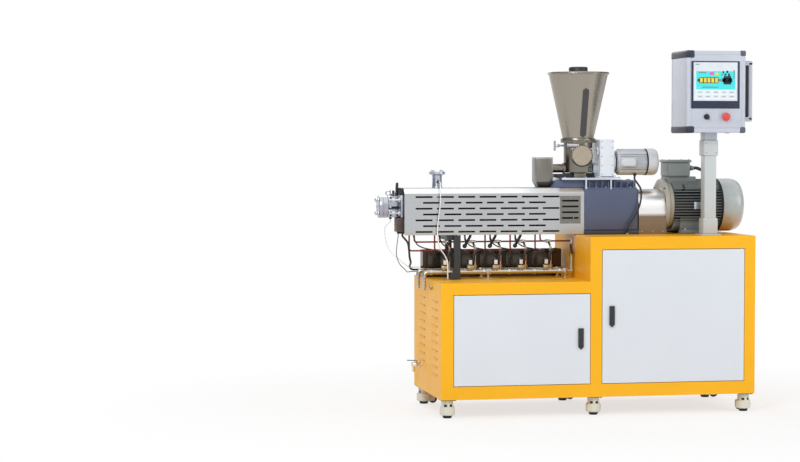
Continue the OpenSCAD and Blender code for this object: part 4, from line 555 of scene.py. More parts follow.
def fastenerTree():
    tree, start, end = startTree("fastenerTree", [
        ("Head Radius", "Float", 0.005), ("Head Height", "Float", 0.003), ("Head Sides", "Int", 6),
        ("Top Share", "Float", 0.8)])
    radius = start.outputs["Head Radius"]
    topRadius = mathNode(tree, "MULTIPLY", radius, start.outputs["Top Share"])
    head = feed(tree, tree.nodes.new("GeometryNodeMeshCone"), Vertices=start.outputs["Head Sides"],
                Radius_Bottom=radius, Radius_Top=topRadius, Depth=start.outputs["Head Height"])
    facing = tree.nodes.new("GeometryNodeInputNamedAttribute")
    facing.data_type = "FLOAT_VECTOR"
    facing.inputs["Name"].default_value = "facing"
    align = feed(tree, tree.nodes.new("FunctionNodeAlignRotationToVector"),
                 Vector=facing.outputs["Attribute"])
    align.axis = "Z"
    place = feed(tree, tree.nodes.new("GeometryNodeInstanceOnPoints"), Points=start.outputs["Geometry"],
                 Instance=head.outputs["Mesh"], Rotation=align.outputs["Rotation"])
    return finishTree(tree, start, end, place.outputs["Instances"])


def barTree():
    tree, start, end = startTree("barTree", [
        ("Count", "Int", 5), ("First", "Vector", (0, 0, 0)), ("Step", "Vector", (0, 0, 0)),
        ("Bar Size", "Vector", (0.01, 0.01, 0.01))])
    line = feed(tree, tree.nodes.new("GeometryNodeMeshLine"), Count=start.outputs["Count"],
                Start_Location=start.outputs["First"], Offset=start.outputs["Step"])
    bar = feed(tree, tree.nodes.new("GeometryNodeMeshCube"), Size=start.outputs["Bar Size"])
    place = feed(tree, tree.nodes.new("GeometryNodeInstanceOnPoints"), Points=line.outputs["Mesh"],
                 Instance=bar.outputs["Mesh"])
    return finishTree(tree, start, end, place.outputs["Instances"])


def finTree():   # straight fins on one side of a round body, each as deep as the gap between two circles
    tree, start, end = startTree("finTree", [
        ("Count", "Int", 15), ("Spread", "Float", 0.1), ("Fin Length", "Float", 0.2),
        ("Fin Thickness", "Float", 0.003), ("Outer Radius", "Float", 0.13), ("Inner Radius", "Float", 0.11),
        ("Turn", "Vector", (0, 0, 0)), ("Middle", "Vector", (0, 0, 0))])

    def calc(operation, first, second=None):
        return mathNode(tree, operation, first, second)

    def joined(x, y, z):
        node = tree.nodes.new("ShaderNodeCombineXYZ")
        for socket, value in zip(node.inputs, (x, y, z)):
            if isinstance(value, (int, float)):
                socket.default_value = value
            else:
                tree.links.new(value, socket)
        return node.outputs[0]

    def reach(radius):
        return calc("SQRT", calc("SUBTRACT", calc("MULTIPLY", radius, radius), squared))

    given = start.outputs
    gaps = calc("SUBTRACT", given["Count"], 1)
    step = calc("DIVIDE", calc("MULTIPLY", given["Spread"], 2.0), gaps)
    first = calc("MULTIPLY", given["Spread"], -1.0)
    line = feed(tree, tree.nodes.new("GeometryNodeMeshLine"), Count=given["Count"],
                Start_Location=joined(0, 0, first), Offset=joined(0, 0, step))
    height = axesOf(tree, tree.nodes.new("GeometryNodeInputPosition").outputs[0])[2]
    squared = calc("MULTIPLY", height, height)
    outer = reach(given["Outer Radius"])
    inner = calc("SUBTRACT", reach(given["Inner Radius"]), 0.004)
    size = tree.nodes.new("GeometryNodeCaptureAttribute")
    size.capture_items.new("VECTOR", "size")
    tree.links.new(line.outputs["Mesh"], size.inputs[0])
    deep = calc("SUBTRACT", outer, inner)
    tree.links.new(joined(given["Fin Length"], deep, given["Fin Thickness"]), size.inputs[1])
    middle = calc("MULTIPLY", calc("ADD", outer, inner), -0.5)
    move = feed(tree, tree.nodes.new("GeometryNodeSetPosition"), Geometry=size.outputs[0],
                Position=joined(0, middle, height))
    bar = tree.nodes.new("GeometryNodeMeshCube")
    place = feed(tree, tree.nodes.new("GeometryNodeInstanceOnPoints"), Points=move.outputs["Geometry"],
                 Instance=bar.outputs["Mesh"], Scale=size.outputs[1])
    turn = feed(tree, tree.nodes.new("GeometryNodeTransform"), Geometry=place.outputs["Instances"],
                Rotation=given["Turn"], Translation=given["Middle"])
    return finishTree(tree, start, end, turn.outputs["Geometry"])


fasteners, bars, fins = fastenerTree(), barTree(), finTree()


def growPiece(name, tree, values, material, body="machine", replaces=(), points=()):
    mesh = bpy.data.meshes.new(name + "Points")
    mesh.from_pydata([at(*place) for place, facing in points], [], [])
    if points:
        attribute = mesh.attributes.new("facing", "FLOAT_VECTOR", "POINT")
        for k, (place, facing) in enumerate(points):
            attribute.data[k].vector = facing
    seed = show(bpy.data.objects.new(name + "Seed", mesh))
    modifier = seed.modifiers.new("grow", "NODES")
    modifier.node_group = tree
    values = dict(values, Material=material)
    for item in tree.interface.items_tree:
        if item.item_type == "SOCKET" and item.in_out == "INPUT" and item.name in values:
            modifier[item.identifier] = values[item.name]
    shown = seed.evaluated_get(bpy.context.evaluated_depsgraph_get())
    result = bpy.data.meshes.new_from_object(shown)
    seed.modifiers.remove(modifier)
    bpy.data.objects.remove(seed)
    result.name = name
    return placePiece(name, result, material, body, replaces)


def addFasteners(name, points, radius, height, sides, material, body="machine", top=0.85):
    form = {"Head Radius": radius * mm, "Head Height": height * mm, "Head Sides": sides, "Top Share": top}
    return growPiece(name, fasteners, form, material, body, points=points)


def addBars(name, count, first, step, size, material, body="machine"):
    return growPiece(name, bars, {"Count": count, "First": at(*first), "Step": Vector(step) * mm,
                                  "Bar Size": Vector(size) * mm}, material, body)


def addFins(name, count, spread, length, thick, outer, inner, turn, middle, material):
    growPiece(name, fins, {
        "Count": count, "Spread": spread * mm, "Fin Length": length * mm, "Fin Thickness": thick * mm,
        "Outer Radius": outer * mm, "Inner Radius": inner * mm, "Turn": (math.radians(turn), 0, 0),
        "Middle": at(*middle)}, material)


def coat(material, *names):
    for name in names:
        mesh = nodes[name].data
        mesh.materials.clear()
        mesh.materials.append(material)


print("shape tools ready")

# Cabinet and the hidden pieces, which keep their own solids
coat(yellowPaint, "frame_tubes", "deck_plates", "cabinet_panels")
coat(doorPaint, "door_low", "door_high")
coat(switchGrey, "control_gear")
coat(darkIron, "barrel", "motor_rotor", "levelling_feet")
coat(heaterBand, "barrel_heaters")
coat(screwSteel, "screw_front", "screw_rear", "feed_screw")
coat(supportPaint, "barrel_support")
coat(coverSteel, "barrel_cover")
coat(troughSteel, "wiring_trough")
coat(wheelNylon, *["caster_wheel_%d" % k for k in range(1, 7)])
coat(ivoryPlastic, *["caster_body_%d" % k for k in range(1, 7)])

# Quarter-turn latches with a pointed lower end, a spindle and a cam
latch = dict(width=26, height=102, depth=8, proud=0.3, edge=1.6, keyRadius=5.5, keyProud=0.98, pivotShare=0.3,
             spindle=6, camFront=29, camBack=32, camWidth=16, camDown=47.5)
for name, x, z in (("latch_low", 679, 368), ("latch_high", 832, 472)):
    shape = bmesh.new()
    half, tall = latch["width"] / 2, latch["height"] / 2
    front = -latch["proud"]
    addPrism(shape, [(-half, tall), (half, tall), (half, half - tall), (0, -tall), (-half, half - tall)],
             (x, front, z), (0, -1, 0), latch["depth"], (1, 0, 0), latch["edge"])
    pivot = z + latch["height"] * latch["pivotShare"]
    cam = latch["camWidth"] / 2
    addRod(shape, (x, front - 1, pivot), (x, latch["camBack"], pivot), latch["spindle"])
    addBox(shape, (x - cam, latch["camFront"], pivot - latch["camDown"]),
           (x + cam, latch["camBack"], pivot + cam), 0.8)
    makePiece(name + "Handle", shape, blackPlastic, name, (name,))
    shape = bmesh.new()
    key, out = latch["keyRadius"], latch["keyProud"]
    addLathe(shape, (x, 1 + front - latch["depth"], pivot), (0, -1, 0),
             [(0, 0), (0, key), (out, key), (out, 3), (0.6, 2.4), (0.6, 0)], 24)
    makePiece(name + "Key", shape, boltSteel, name)

# Pressed louvres on the left side: a lip over each slot, with its folded edge
louvre = dict(pitch=39, top=543, length=120, lip=3.4, thick=1.2, over=6, fold=1.0, foldHigh=5.0, foldOver=3.6)
for name, y, count in (("louvresFront", 150, 10), ("louvresRear", 455, 9)):
    for ending, x, over, size in (("", -louvre["lip"] / 2, louvre["over"], (louvre["lip"], louvre["thick"])),
                                  ("Fold", louvre["fold"] / 2 - louvre["lip"], louvre["foldOver"],
                                   (louvre["fold"], louvre["foldHigh"]))):
        addBars(name + ending, count, (x, y, louvre["top"] + over), (0, 0, -louvre["pitch"]),
                (size[0], louvre["length"], size[1]), yellowPaint, "machine")
print("cabinet dressed")

# Levelling casters: rubber feet, and the four bolts of each plate
caster = dict(xs=(40, 755.5, 1510), ys=(48, 612), foot=24, footHigh=12, stem=9, bolts=28 * math.sqrt(2),
              boltLow=81.5, boltHigh=85.1, boltRadius=4.2)
for index in range(6):
    x, y = caster["xs"][index % 3], caster["ys"][index // 3]
    shape = bmesh.new()
    foot, high = caster["foot"], caster["footHigh"]
    addLathe(shape, (x, y, 0), (0, 0, 1), [
        (4, caster["stem"]), (high, foot), (high, foot), (4, foot - 4), (0, foot - 5), (0, caster["stem"])],
        40, closed=True)
    makePiece("casterFoot%d" % (index + 1), shape, footRubber, "machine")
    shape = bmesh.new()
    for c, s in around(4, 45):
        spot = (x + caster["bolts"] * c, y + caster["bolts"] * s)
        addRod(shape, (*spot, caster["boltLow"]), (*spot, caster["boltHigh"]), caster["boltRadius"], 6, 0.3)
    makePiece("casterBolts%d" % (index + 1), shape, boltSteel, "machine")
print("casters dressed")

# Barrel cover: near-black sheets behind its slots and in its left end as painted shade, and its small screws
cover = dict(left=-112, right=640, low=862, high=1052, shadeSheet=451, shadeSheetThick=4, end=-122, endThick=2,
             endLow=940, shoulder=1056, ridge=1081, halfLow=96.3, halfTop=70.5, front=262, plateX=697,
             plateFront=260)
screws = [((cover["plateX"], cover["plateFront"], z), (0, -1, 0)) for z in (1034, 912)]
screws += [((x, cover["front"], cover["low"] + 2), (0, -1, 0)) for x in range(-100, 760, 143)]
shape = bmesh.new()
addBox(shape, (cover["left"], cover["shadeSheet"], cover["low"]),
       (cover["right"], cover["shadeSheet"] + cover["shadeSheetThick"], cover["high"]), 1)
wide, top = cover["halfLow"], cover["halfTop"]
addPrism(shape, [(-wide, cover["endLow"]), (wide, cover["endLow"]), (wide, cover["shoulder"]),
                 (top, cover["ridge"]), (-top, cover["ridge"]), (-wide, cover["shoulder"])],
         (cover["end"], axisY, 0), (1, 0, 0), cover["endThick"], (0, 1, 0))
makePiece("coverShadeSheets", shape, paintedGapShade, "machine")
addFasteners("coverScrews", screws, 3.2, 1.8, 12, boltSteel, top=0.7)

# Vent stack with flange, nuts and a side cable gland
vent = dict(x=54, top=1162, long=127, radius=24.5, bore=14, flange=39.5, bolts=31, weld=76, glandDown=51)
shape = bmesh.new()
flange = vent["flange"]
addLathe(shape, (vent["x"], axisY, vent["top"]), (0, 0, 1), [
    (-vent["long"], vent["bore"]), (-vent["long"], vent["radius"]), (-21, vent["radius"]), (-17, 27),
    (-14, flange - 1.5), (-13, flange), (-9, flange), (-8.4, flange - 0.9), (-6.6, flange - 0.9),
    (-6, flange), (-1, flange), (0, flange - 1), (0, vent["bore"])], 56, closed=True)
addTorus(shape, (vent["x"], axisY, vent["top"] - vent["weld"]), (0, 0, 1), 25.2, 1.6)
makePiece("ventStack", shape, ventSteel, "machine", ("vent_stack",))
shape = bmesh.new()
addRods(shape, (vent["x"], axisY - 24, vent["top"] - vent["glandDown"]), (0, -1, 0),
        [(0, 3, 8.5, 6, 0.5), (3, 11, 7, 20), (11, 14.5, 5, 20, 0.8)])
makePiece("ventGland", shape, blackPlastic, "machine")
ring = [((vent["x"] + vent["bolts"] * c, axisY + vent["bolts"] * s, vent["top"]), (0, 0, 1))
        for c, s in around(4, 45)]
addFasteners("ventNuts", ring, 5.2, 5, 6, boltSteel)
addFasteners("ventStuds", ring, 2.8, 8, 12, boltSteel)

# Head: die, split block and adapter, with bolts, plugs, terminal box and lever
head = dict(face=-239, block=-195, adapter=-135, end=-111, half=40, high=52, flange=54, bolts=32, clamps=51,
            boxLeft=-154, boxRight=-116, boxLow=871, boxHigh=939)
left, right, half, high = head["block"], head["adapter"], head["half"], head["high"]
shape = bmesh.new()
addLathe(shape, (head["face"], axisY, axisZ), (1, 0, 0), [
    (0, 0), (0, 44), (0.8, 45), (1.2, 50), (3.5, 54.2), (6, 55), (17, 55), (18, 53.4), (21, 53.4), (22, 55),
    (43, 55), (44, 54), (44, 0)], 64)
addBox(shape, (left, axisY - half, axisZ - high), (right, axisY + half, axisZ - 15), 3)
addBox(shape, (left, axisY - half, axisZ - 5), (right, axisY + half, axisZ + high), 3)
addBox(shape, (left, axisY - half + 8, axisZ - 16), (right, axisY + half - 8, axisZ - 4), 0.5)
addBox(shape, (right, axisY - head["flange"], axisZ - head["flange"]),
       (head["end"], axisY + head["flange"], axisZ + head["flange"]), 2.5)
makePiece("dieHead", shape, dieSteel, "machine", ("die_head",))
# near-black discs on the die's face, a strip along the split of the block and three spots on its side:
# painted shade in the holes and the split
shape = bmesh.new()
for y in (-22, 0, 22):
    addLathe(shape, (head["face"] - 0.1, axisY + y, axisZ), (1, 0, 0),
             [(0, 0), (0, 3.4), (0.3, 3.8), (1.2, 3.8), (1.2, 0)], 20)
addBox(shape, (left + 2, axisY - half - 1.6, axisZ - 11), (right - 4, axisY - half + 0.6, axisZ + 1), 0.5)
for x, z in ((13, -42), (45, -42), (13, 43)):
    addRod(shape, (left + x, axisY - half - 1, axisZ + z), (left + x, axisY - half + 1, axisZ + z), 4.5, 20)
makePiece("strandHoles", shape, paintedGapShade, "machine")
shape = bmesh.new()
for y in (-head["bolts"], head["bolts"]):
    for z in (-head["bolts"], head["bolts"]):
        addLathe(shape, (head["face"], axisY + y, axisZ + z), (-1, 0, 0), [
            (0, 0), (0, 11.5), (4, 11.5), (6.5, 10.4), (8.6, 7.5), (9.8, 3.6), (10, 0)], 28)
for y in (-head["clamps"], head["clamps"]):
    for z in (-head["bolts"], head["bolts"]):
        addRods(shape, (left, axisY + y, axisZ + z), (1, 0, 0),
                [(0, right - left, 6, 20, 1), (46, 60, 11, 6, 1), (17, 31, 11, 6, 1)])
for y in (-42, 42):
    for z in (-42, 0, 42):
        addRods(shape, (head["end"], axisY + y, axisZ + z), (1, 0, 0), [(0, 8, 6, 16, 0.8)])
makePiece("headBolts", shape, boltSteel, "machine", ("die_bolts",))
shape = bmesh.new()
top = axisZ + high
addRods(shape, (-175, 340, top), (0, 0, 1), [(0, 10, 11, 6, 0.8), (10, 32, 8, 24, 1.5, 4)])
addTorus(shape, (-184, 380, top + 12), (0, 1, 0), 11, 2.8)
addRod(shape, (-184, 380, top - 1), (-184, 380, top + 3), 7, 20)
addRod(shape, (-160, 330, top), (-160, 330, top + 17), 3, 16)
addRods(shape, (-186, 322, axisZ), (0, -1, 0), [(0, 18, 7, 6, 0.8), (18, 21.8, 4, 16)])
makePiece("headFittings", shape, boltSteel, "machine")
shape = bmesh.new()
addBox(shape, (head["boxLeft"], 300, head["boxLow"]), (head["boxRight"], 380, head["boxHigh"]), 2.5)
addBox(shape, (head["boxLeft"] - 1, 299.2, 902), (head["boxRight"] + 1, 381, 905), 0.6)
makePiece("headTerminalBox", shape, boxBrown, "machine")
shape = bmesh.new()
for label in ("die", "sensor", "heater"):
    addRods(shape, cableRoutes[label][0][0], (0, 0, 1), [(8, 3, 7, 6, 0.5), (3, 0, 5.4, 20, 0.8)])
addLathe(shape, (-168, 343, top - 1), (0.15, 0, 1), [(0, 0), (0, 10), (12, 9), (24, 6), (27, 3), (27, 0)], 24)
addLathe(shape, (-151, 332, top - 1), (-0.1, 0, 1), [(0, 0), (0, 6), (16, 6), (19, 4), (19, 0)], 20)
makePiece("headGlands", shape, blackPlastic, "machine")
shape = bmesh.new()
addLathe(shape, (-146, axisY, 1045.3), (0, 0, 1), [(0, 0), (0, 9), (6, 9), (8, 7), (12, 6.4), (12, 0)], 28)
addLathe(shape, (-146, axisY, 1051.3), (0.052, 0, 1), [
    (0, 0), (0, 5), (10, 5), (14, 6.6), (30, 7), (50, 7), (56, 5.4), (58, 3), (58, 0)], 28)
makePiece("headLever", shape, blackPlastic, "head_lever", ("head_lever",))
print("head dressed")

# Gearbox with oil box, ribs and cover bolts
gear = dict(left=767, right=1043, front=260, back=460, plinth=20, top=1075, lid=8, ribFirst=795, ribPitch=32,
            ribs=8, ribIn=19, ribSize=(5, 24, 30))
left, right, front, back, top = [gear[k] for k in ("left", "right", "front", "back", "top")]
shape = bmesh.new()
addBox(shape, (left, front, highDeck + gear["plinth"]), (right, back, top), 7, 3)
addBox(shape, (left + 8, front + 8, top - 9), (right - 6, back - 8, top + gear["lid"]), 3, 2)
addPrism(shape, [(155, -8), (155, 8.3), (0, 8.3), (20, 43), (425, 43), (425, -8)], (left - 155, 430, top),
         (0, -1, 0), 140, (1, 0, 0), 2.5)
makePiece("gearboxHousing", shape, bluePaint, "machine", ("gearbox_housing",))
shape = bmesh.new()
addBox(shape, (left, front - 6, highDeck), (right, back + 6, highDeck + gear["plinth"]), 1.5)
makePiece("gearboxPlinth", shape, plinthPaint, "machine")
for name, y in (("gearboxRibsFront", front + gear["ribIn"]), ("gearboxRibsBack", back - gear["ribIn"])):
    addBars(name, gear["ribs"], (gear["ribFirst"], y, top + 21), (gear["ribPitch"], 0, 0), gear["ribSize"],
            bluePaint)
bolts = [((x, y, top + gear["lid"]), (0, 0, 1)) for x in (784, 831, 878, 955, 1004, 1028)
         for y in (front + 14, back - 14)]
addFasteners("gearboxBolts", bolts, 6, 4, 6, boltSteel)
shape = bmesh.new()
addRod(shape, (1018, axisY, top + 43), (1018, axisY, top + 47), 11, 6, 0.8)
makePiece("gearboxPlugs", shape, brassMetal, "machine")

# Coupling guard: one smooth bent sheet, straight up to its spring line
guard = dict(left=gear["right"], right=1181, radius=105, spring=115, thick=1.5, steps=40)
shape = bmesh.new()
turns = [math.pi * k / guard["steps"] for k in range(guard["steps"] + 1)]
arches = [[(-radius, 0)] + [(-radius * math.cos(a), guard["spring"] + radius * math.sin(a)) for a in turns]
          + [(radius, 0)] for radius in (guard["radius"], guard["radius"] - guard["thick"])]
rows = [[[shape.verts.new((x, axisY + u, highDeck + v)) for u, v in line] for line in arches]
        for x in (guard["left"], guard["right"])]
for k in range(len(arches[0]) - 1):
    for side in (0, 1):
        shape.faces.new([rows[0][side][k], rows[0][side][k + 1], rows[1][side][k + 1], rows[1][side][k]])
    for end in (0, 1):
        shape.faces.new([rows[end][0][k], rows[end][0][k + 1], rows[end][1][k + 1], rows[end][1][k]])
for k in (0, -1):
    shape.faces.new([rows[0][0][k], rows[0][1][k], rows[1][1][k], rows[1][0][k]])
makePiece("couplingGuard", shape, guardSteel, "machine", ("coupling_guard",), sharp=50)
screws = [((x, axisY - guard["radius"], highDeck + 13), (0, -1, 0)) for x in (1058, 1112, 1166)]
addFasteners("guardScrews", screws, 4, 2.4, 12, boltSteel, top=0.7)
print("gearbox and guard dressed")

# Main motor: end shield, drum with straight fins on four sides, feet, saddle, eye and a bare plate
motor = dict(left=guard["right"], body=112, rim=130, end=291, foot=108, footHalf=18, footLeft=1250,
             footRight=1440, footHigh=22, web=8, finCounts=(13, 13, 13, 11), finLength=234, finSpread=83,
             finThick=3.8, finTip=129.5, finMiddle=1343, shieldBolts=119, footBolts=114)
body, rim, end = motor["body"], motor["rim"], motor["end"]
# the drum under the fins takes the darker copy of the motor paint: painted shade in the gaps between the fins
shape = bmesh.new()
addLathe(shape, (motor["left"], axisY, axisZ), (1, 0, 0), [
    (44, 0), (44, body), (279, body), (279, rim - 2), (281, rim), (end - 1, rim), (end, rim - 1),
    (end, 0)], 72)
makePiece("motorDrum", shape, motorPaintedShade, "machine", ("motor_housing",))
shape = bmesh.new()
for side in (-1, 1):
    y = axisY + side * motor["foot"]
    addBox(shape, (motor["footLeft"], y - motor["footHalf"], highDeck),
           (motor["footRight"], y + motor["footHalf"], highDeck + motor["footHigh"]), 4)
    web = y - side * motor["footHalf"]
    addBox(shape, (motor["footLeft"] + 6, web - motor["web"], highDeck + 17),
           (motor["footRight"] - 6, web + motor["web"], highDeck + 86), 3)
addBox(shape, (1203, 310, 1090), (1353, 410, 1135), 4)
makePiece("motorHousing", shape, motorPaint, "machine", ("motor_housing",))
shape = bmesh.new()
addLathe(shape, (motor["left"], axisY, axisZ), (1, 0, 0), [
    (3, 0), (3, 60), (0, 62), (0, 80), (5, 84), (5, 104), (1, 108), (0, 112), (0, 127), (2, rim), (15, rim),
    (17, 127), (24, 119), (40, 116), (44.2, 112), (44.2, 0)], 72)
addSpokes(shape, motor["left"] + 5.5, 70, 102, 22.5, 3.2, 10, 0.6)
makePiece("motorShield", shape, shieldPaint, "machine", ("motor_housing",))
for index, count in enumerate(motor["finCounts"]):
    addFins("motorFins%d" % (index + 1), count, motor["finSpread"], motor["finLength"], motor["finThick"],
            motor["finTip"], body, 90 * index, (motor["finMiddle"], axisY, axisZ), motorPaint)
shape = bmesh.new()
addTorus(shape, (1275, 273.5, 1079.5), (1, 0, 0), 13, 4.6)
addRod(shape, (1275, 282, 1071), (1275, 278, 1075), 9, 20)
for c, s in around(4, 45):
    addRods(shape, (motor["left"], axisY + motor["shieldBolts"] * c, axisZ + motor["shieldBolts"] * s),
            (-1, 0, 0), [(-0.5, 2.8, 6, 6, 0.6)])
makePiece("motorEye", shape, motorPaintedShade, "machine")
bolts = [((x, axisY + side * motor["footBolts"], highDeck + motor["footHigh"]), (0, 0, 1))
         for x in (1275, 1415) for side in (-1, 1)]
addFasteners("motorFootBolts", bolts, 8, 6, 6, boltSteel)
shape = bmesh.new()
addBox(shape, (1318, 229.6, 975), (1378, 233, 1011), 0.8)
makePiece("motorPlate", shape, plateSteel, "machine")

# Terminal box with overhanging lid and cable gland
terminal = dict(left=1205, right=1319, front=295, back=425, low=1135, high=1205, over=5, lid=14)
left, right, front, back, low, high = [terminal[k] for k in ("left", "right", "front", "back", "low", "high")]
over, lidTop = terminal["over"], high - 1 + terminal["lid"]
shape = bmesh.new()
addBox(shape, (left, front, low), (right, back, high), 8, 3)
addBox(shape, (left + 8, front + 8, low - 2), (right - 8, back - 8, low + 5), 2)
makePiece("terminalBox", shape, boxPaint, "machine", ("terminal_box",))
shape = bmesh.new()
addBox(shape, (left - over, front - over, high - 1), (right + over, back + over, lidTop), 5, 3)
makePiece("terminalLid", shape, boxPaint, "machine", ("terminal_box",))
screws = [((x, y, lidTop), (0, 0, 1)) for x in (left + 7, right - 7) for y in (front + 7, back - 7)]
addFasteners("terminalScrews", screws, 4, 2.2, 12, boltSteel, top=0.8)
shape = bmesh.new()
addRods(shape, cableRoutes["motor"][0][0], (-1, 0, 0), [(27, 17, 15, 6, 1), (17, 0, 13, 28, 2, 10.5)])
makePiece("terminalGland", shape, motorPaint, "machine")

# Fan cowl with rounded end and an air grille
cowl = dict(left=1472, grille=108.5, rings=(20, 36, 52, 68, 84), hub=18, band=10)
left, grille, band = cowl["left"], cowl["left"] + cowl["grille"], cowl["band"]
turns = around(40)[:11]
shape = bmesh.new()
profile = [(0, 129), (0, 131)] + [(61 + 50 * s, 102.2 + 28.8 * c) for c, s in turns]
profile += [(111, 98), (109, 98), (109, 100.5)] + [(60 + 49 * s, 100.5 + 28.5 * c) for c, s in turns[9::-1]]
addLathe(shape, (left, axisY, axisZ), (1, 0, 0), profile, 72, closed=True)
for radius in cowl["rings"]:
    addTorus(shape, (grille, axisY, axisZ), (1, 0, 0), radius, 1.6, 56, 6)
addRods(shape, (grille, axisY, axisZ), (1, 0, 0), [(-1.5, 2.1, cowl["hub"], 32, 1)])
addSpokes(shape, grille, 14, 99.5, 0, 1.8, 8, 0.2)
makePiece("fanCowl", shape, cowlPaint, "machine", ("fan_cowl",))
# a near-black ring where the cowl meets the motor: painted shade in the gap
shape = bmesh.new()
addLathe(shape, (left - band, axisY, axisZ), (1, 0, 0), [(0, 119), (0, 130.6), (band, 130.6), (band, 119)],
         72, closed=True)
makePiece("cowlBand", shape, paintedGapShade, "machine")
print("motor dressed")

# Feeder's stand on its posts, with the dark cell block and a black arc under the drum's window, a painted
# shadow of the window's rim
stand = dict(left=654, right=957, front=260, back=460, low=1120, high=1131, posts=(779, 905), rows=(272, 448),
             bolts=(672, 779, 842, 905, 945))
drum = dict(x=762, radius=70.5, wall=3, low=1155, rim=1306, high=1312, foot=30, spout=1176.5, spoutEnd=624,
            window=1238, windowFront=283.5)
shape = bmesh.new()
addBox(shape, (stand["left"], stand["front"], stand["low"]),
       (stand["right"], stand["back"], stand["high"]), 1.6)
for x in stand["posts"]:
    for y in stand["rows"]:
        addRod(shape, (x, y, gear["top"]), (x, y, stand["low"]), 6, 24)
makePiece("feederStand", shape, plateSteel, "machine", ("feeder_stand",))
shape = bmesh.new()
addBox(shape, (642, 325, stand["high"]), (690, 395, 1149), 2)
addBox(shape, (690, 341, stand["high"]), (842, 379, 1153), 2)
# a black arc under the window's rim: painted shadow of the rim
turns = [math.radians(198 + 7 * k) for k in range(21)]
shadowArc = [(drum["x"] + 51 * math.cos(a), 283, drum["window"] + 51 * math.sin(a)) for a in turns]
addTube(shape, shadowArc, 3.4, 14)
makePiece("loadCellAndShadowArc", shape, blackPlastic, "machine")
bolts = [((x, y, stand["high"]), (0, 0, 1)) for x in stand["bolts"] for y in stand["rows"]]
addFasteners("standBolts", bolts, 5.5, 4, 6, boltSteel)

# Drum with spout tube, window, clamp and gate
low, rim, high, radius = [drum[k] for k in ("low", "rim", "high", "radius")]
inner = radius - drum["wall"]
shape = bmesh.new()
addLathe(shape, (drum["x"], axisY, 0), (0, 0, 1), [
    (low + 3, 0), (low, 0), (low, 66), (low + 2, 69.5), (low + 6, radius), (rim, radius), (rim, 81),
    (rim + 1, 82), (high - 1, 82), (high, 81), (high, inner), (low + 3, inner)], 64)
addLathe(shape, (drum["x"], drum["windowFront"], drum["window"]), (0, 1, 0), [
    (0, 49), (0, 53), (1.5, 55), (8, 55), (9, 52), (36, 52), (36, 49)], 56, closed=True)
addLathe(shape, (drum["spoutEnd"], axisY, drum["spout"]), (1, 0, 0), [
    (0, 19), (0, 26), (5, 26), (5.5, 21.5), (60, 21.5), (60, 27), (66, 27), (66, 21.5), (72, 21.5), (72, 19)],
    40, closed=True)
for y in (axisY - drum["foot"], axisY + drum["foot"]):
    addBox(shape, (drum["x"] - 30, y - 7.5, stand["high"]), (drum["x"] + 30, y + 7.5, low + 1), 1.5)
makePiece("feederDrum", shape, drumSteel, "machine", ("feeder_body",))
shape = bmesh.new()
addLathe(shape, (drum["x"], drum["windowFront"] + 1, drum["window"]), (0, 1, 0), [
    (0, 0), (0, 48.7), (5, 48.7), (5, 0)], 56)
makePiece("feederWindow", shape, windowGlass, "machine", ("sight_glasses",))
shape = bmesh.new()
for c, s in around(8, 22.5):
    addRods(shape, (drum["x"] + 52 * c, 283.6, drum["window"] + 52 * s), (0, -1, 0), [(0, 2.8, 2.6, 12, 0.4)])
for degrees in (35, 145):
    x = drum["x"] + 60 * math.cos(math.radians(degrees))
    z = drum["window"] + 60 * math.sin(math.radians(degrees))
    addRod(shape, (x, 292, z), (x, 279, z), 4, 16)
    addRod(shape, (x - 9, 281, z - 3), (x + 9, 281, z + 3), 2.2, 12)
addRods(shape, (686, drum["windowFront"], 1289), (1, 0, 0), [(0, 51, 9, 28, 1.5), (51, 59, 6.5, 6, 0.8)])
makePiece("windowClamps", shape, boltSteel, "machine")
shape = bmesh.new()
addLathe(shape, (drum["x"], axisY, high), (0, 0, 1), [
    (-11, 80), (-11, 84.5), (-8, 86), (8, 86), (11, 84.5), (11, 80)], 64, closed=True)
addBox(shape, (748, 270, high - 9), (776, 284, high + 9), 2)
addRods(shape, (740, 277, high), (1, 0, 0), [(0, 44, 3.2, 16), (44, 52, 6.5, 6, 0.6)])
makePiece("hopperClamp", shape, drumSteel, "machine")
print("drum dressed")

# Hopper with its sight strip, the lid and the gate
hopper = dict(low=1312, high=1644, lowRadius=74, highRadius=146.5, bead=4.9, turn=2, steps=30, across=8)
strip = dict(frame=(38, 0.036, 0.776, 0.1), glass=(32, 0.045, 0.767, 0.7), thick=0.8, leastHalf=0.4)
lidLow, capLow, capTop = 1644.3, 1647.3, 1673.3
shape = bmesh.new()
addLathe(shape, (drum["x"], axisY, 0), (0, 0, 1), [
    (1312, 72), (1312, 82), (1318, 82), (1318, 75.3), (1639, 145.4), (1639, 143.4), (1318, 73.3)], 96,
    closed=True)
addTorus(shape, (drum["x"], axisY, 1639), (0, 0, 1), hopper["highRadius"], hopper["bead"], 96, 12)
makePiece("hopperCone", shape, hopperSteel, "machine", ("hopper",))


def coneSpot(share, across, out):   # share of the cone's height, then millimetres along its skin and off it
    radius = hopper["lowRadius"] + (hopper["highRadius"] - hopper["lowRadius"]) * share + out
    angle = -math.pi / 2 + math.radians(hopper["turn"]) + across / radius
    return (drum["x"] + radius * math.cos(angle), axisY + radius * math.sin(angle),
            hopper["low"] + (hopper["high"] - hopper["low"]) * share)


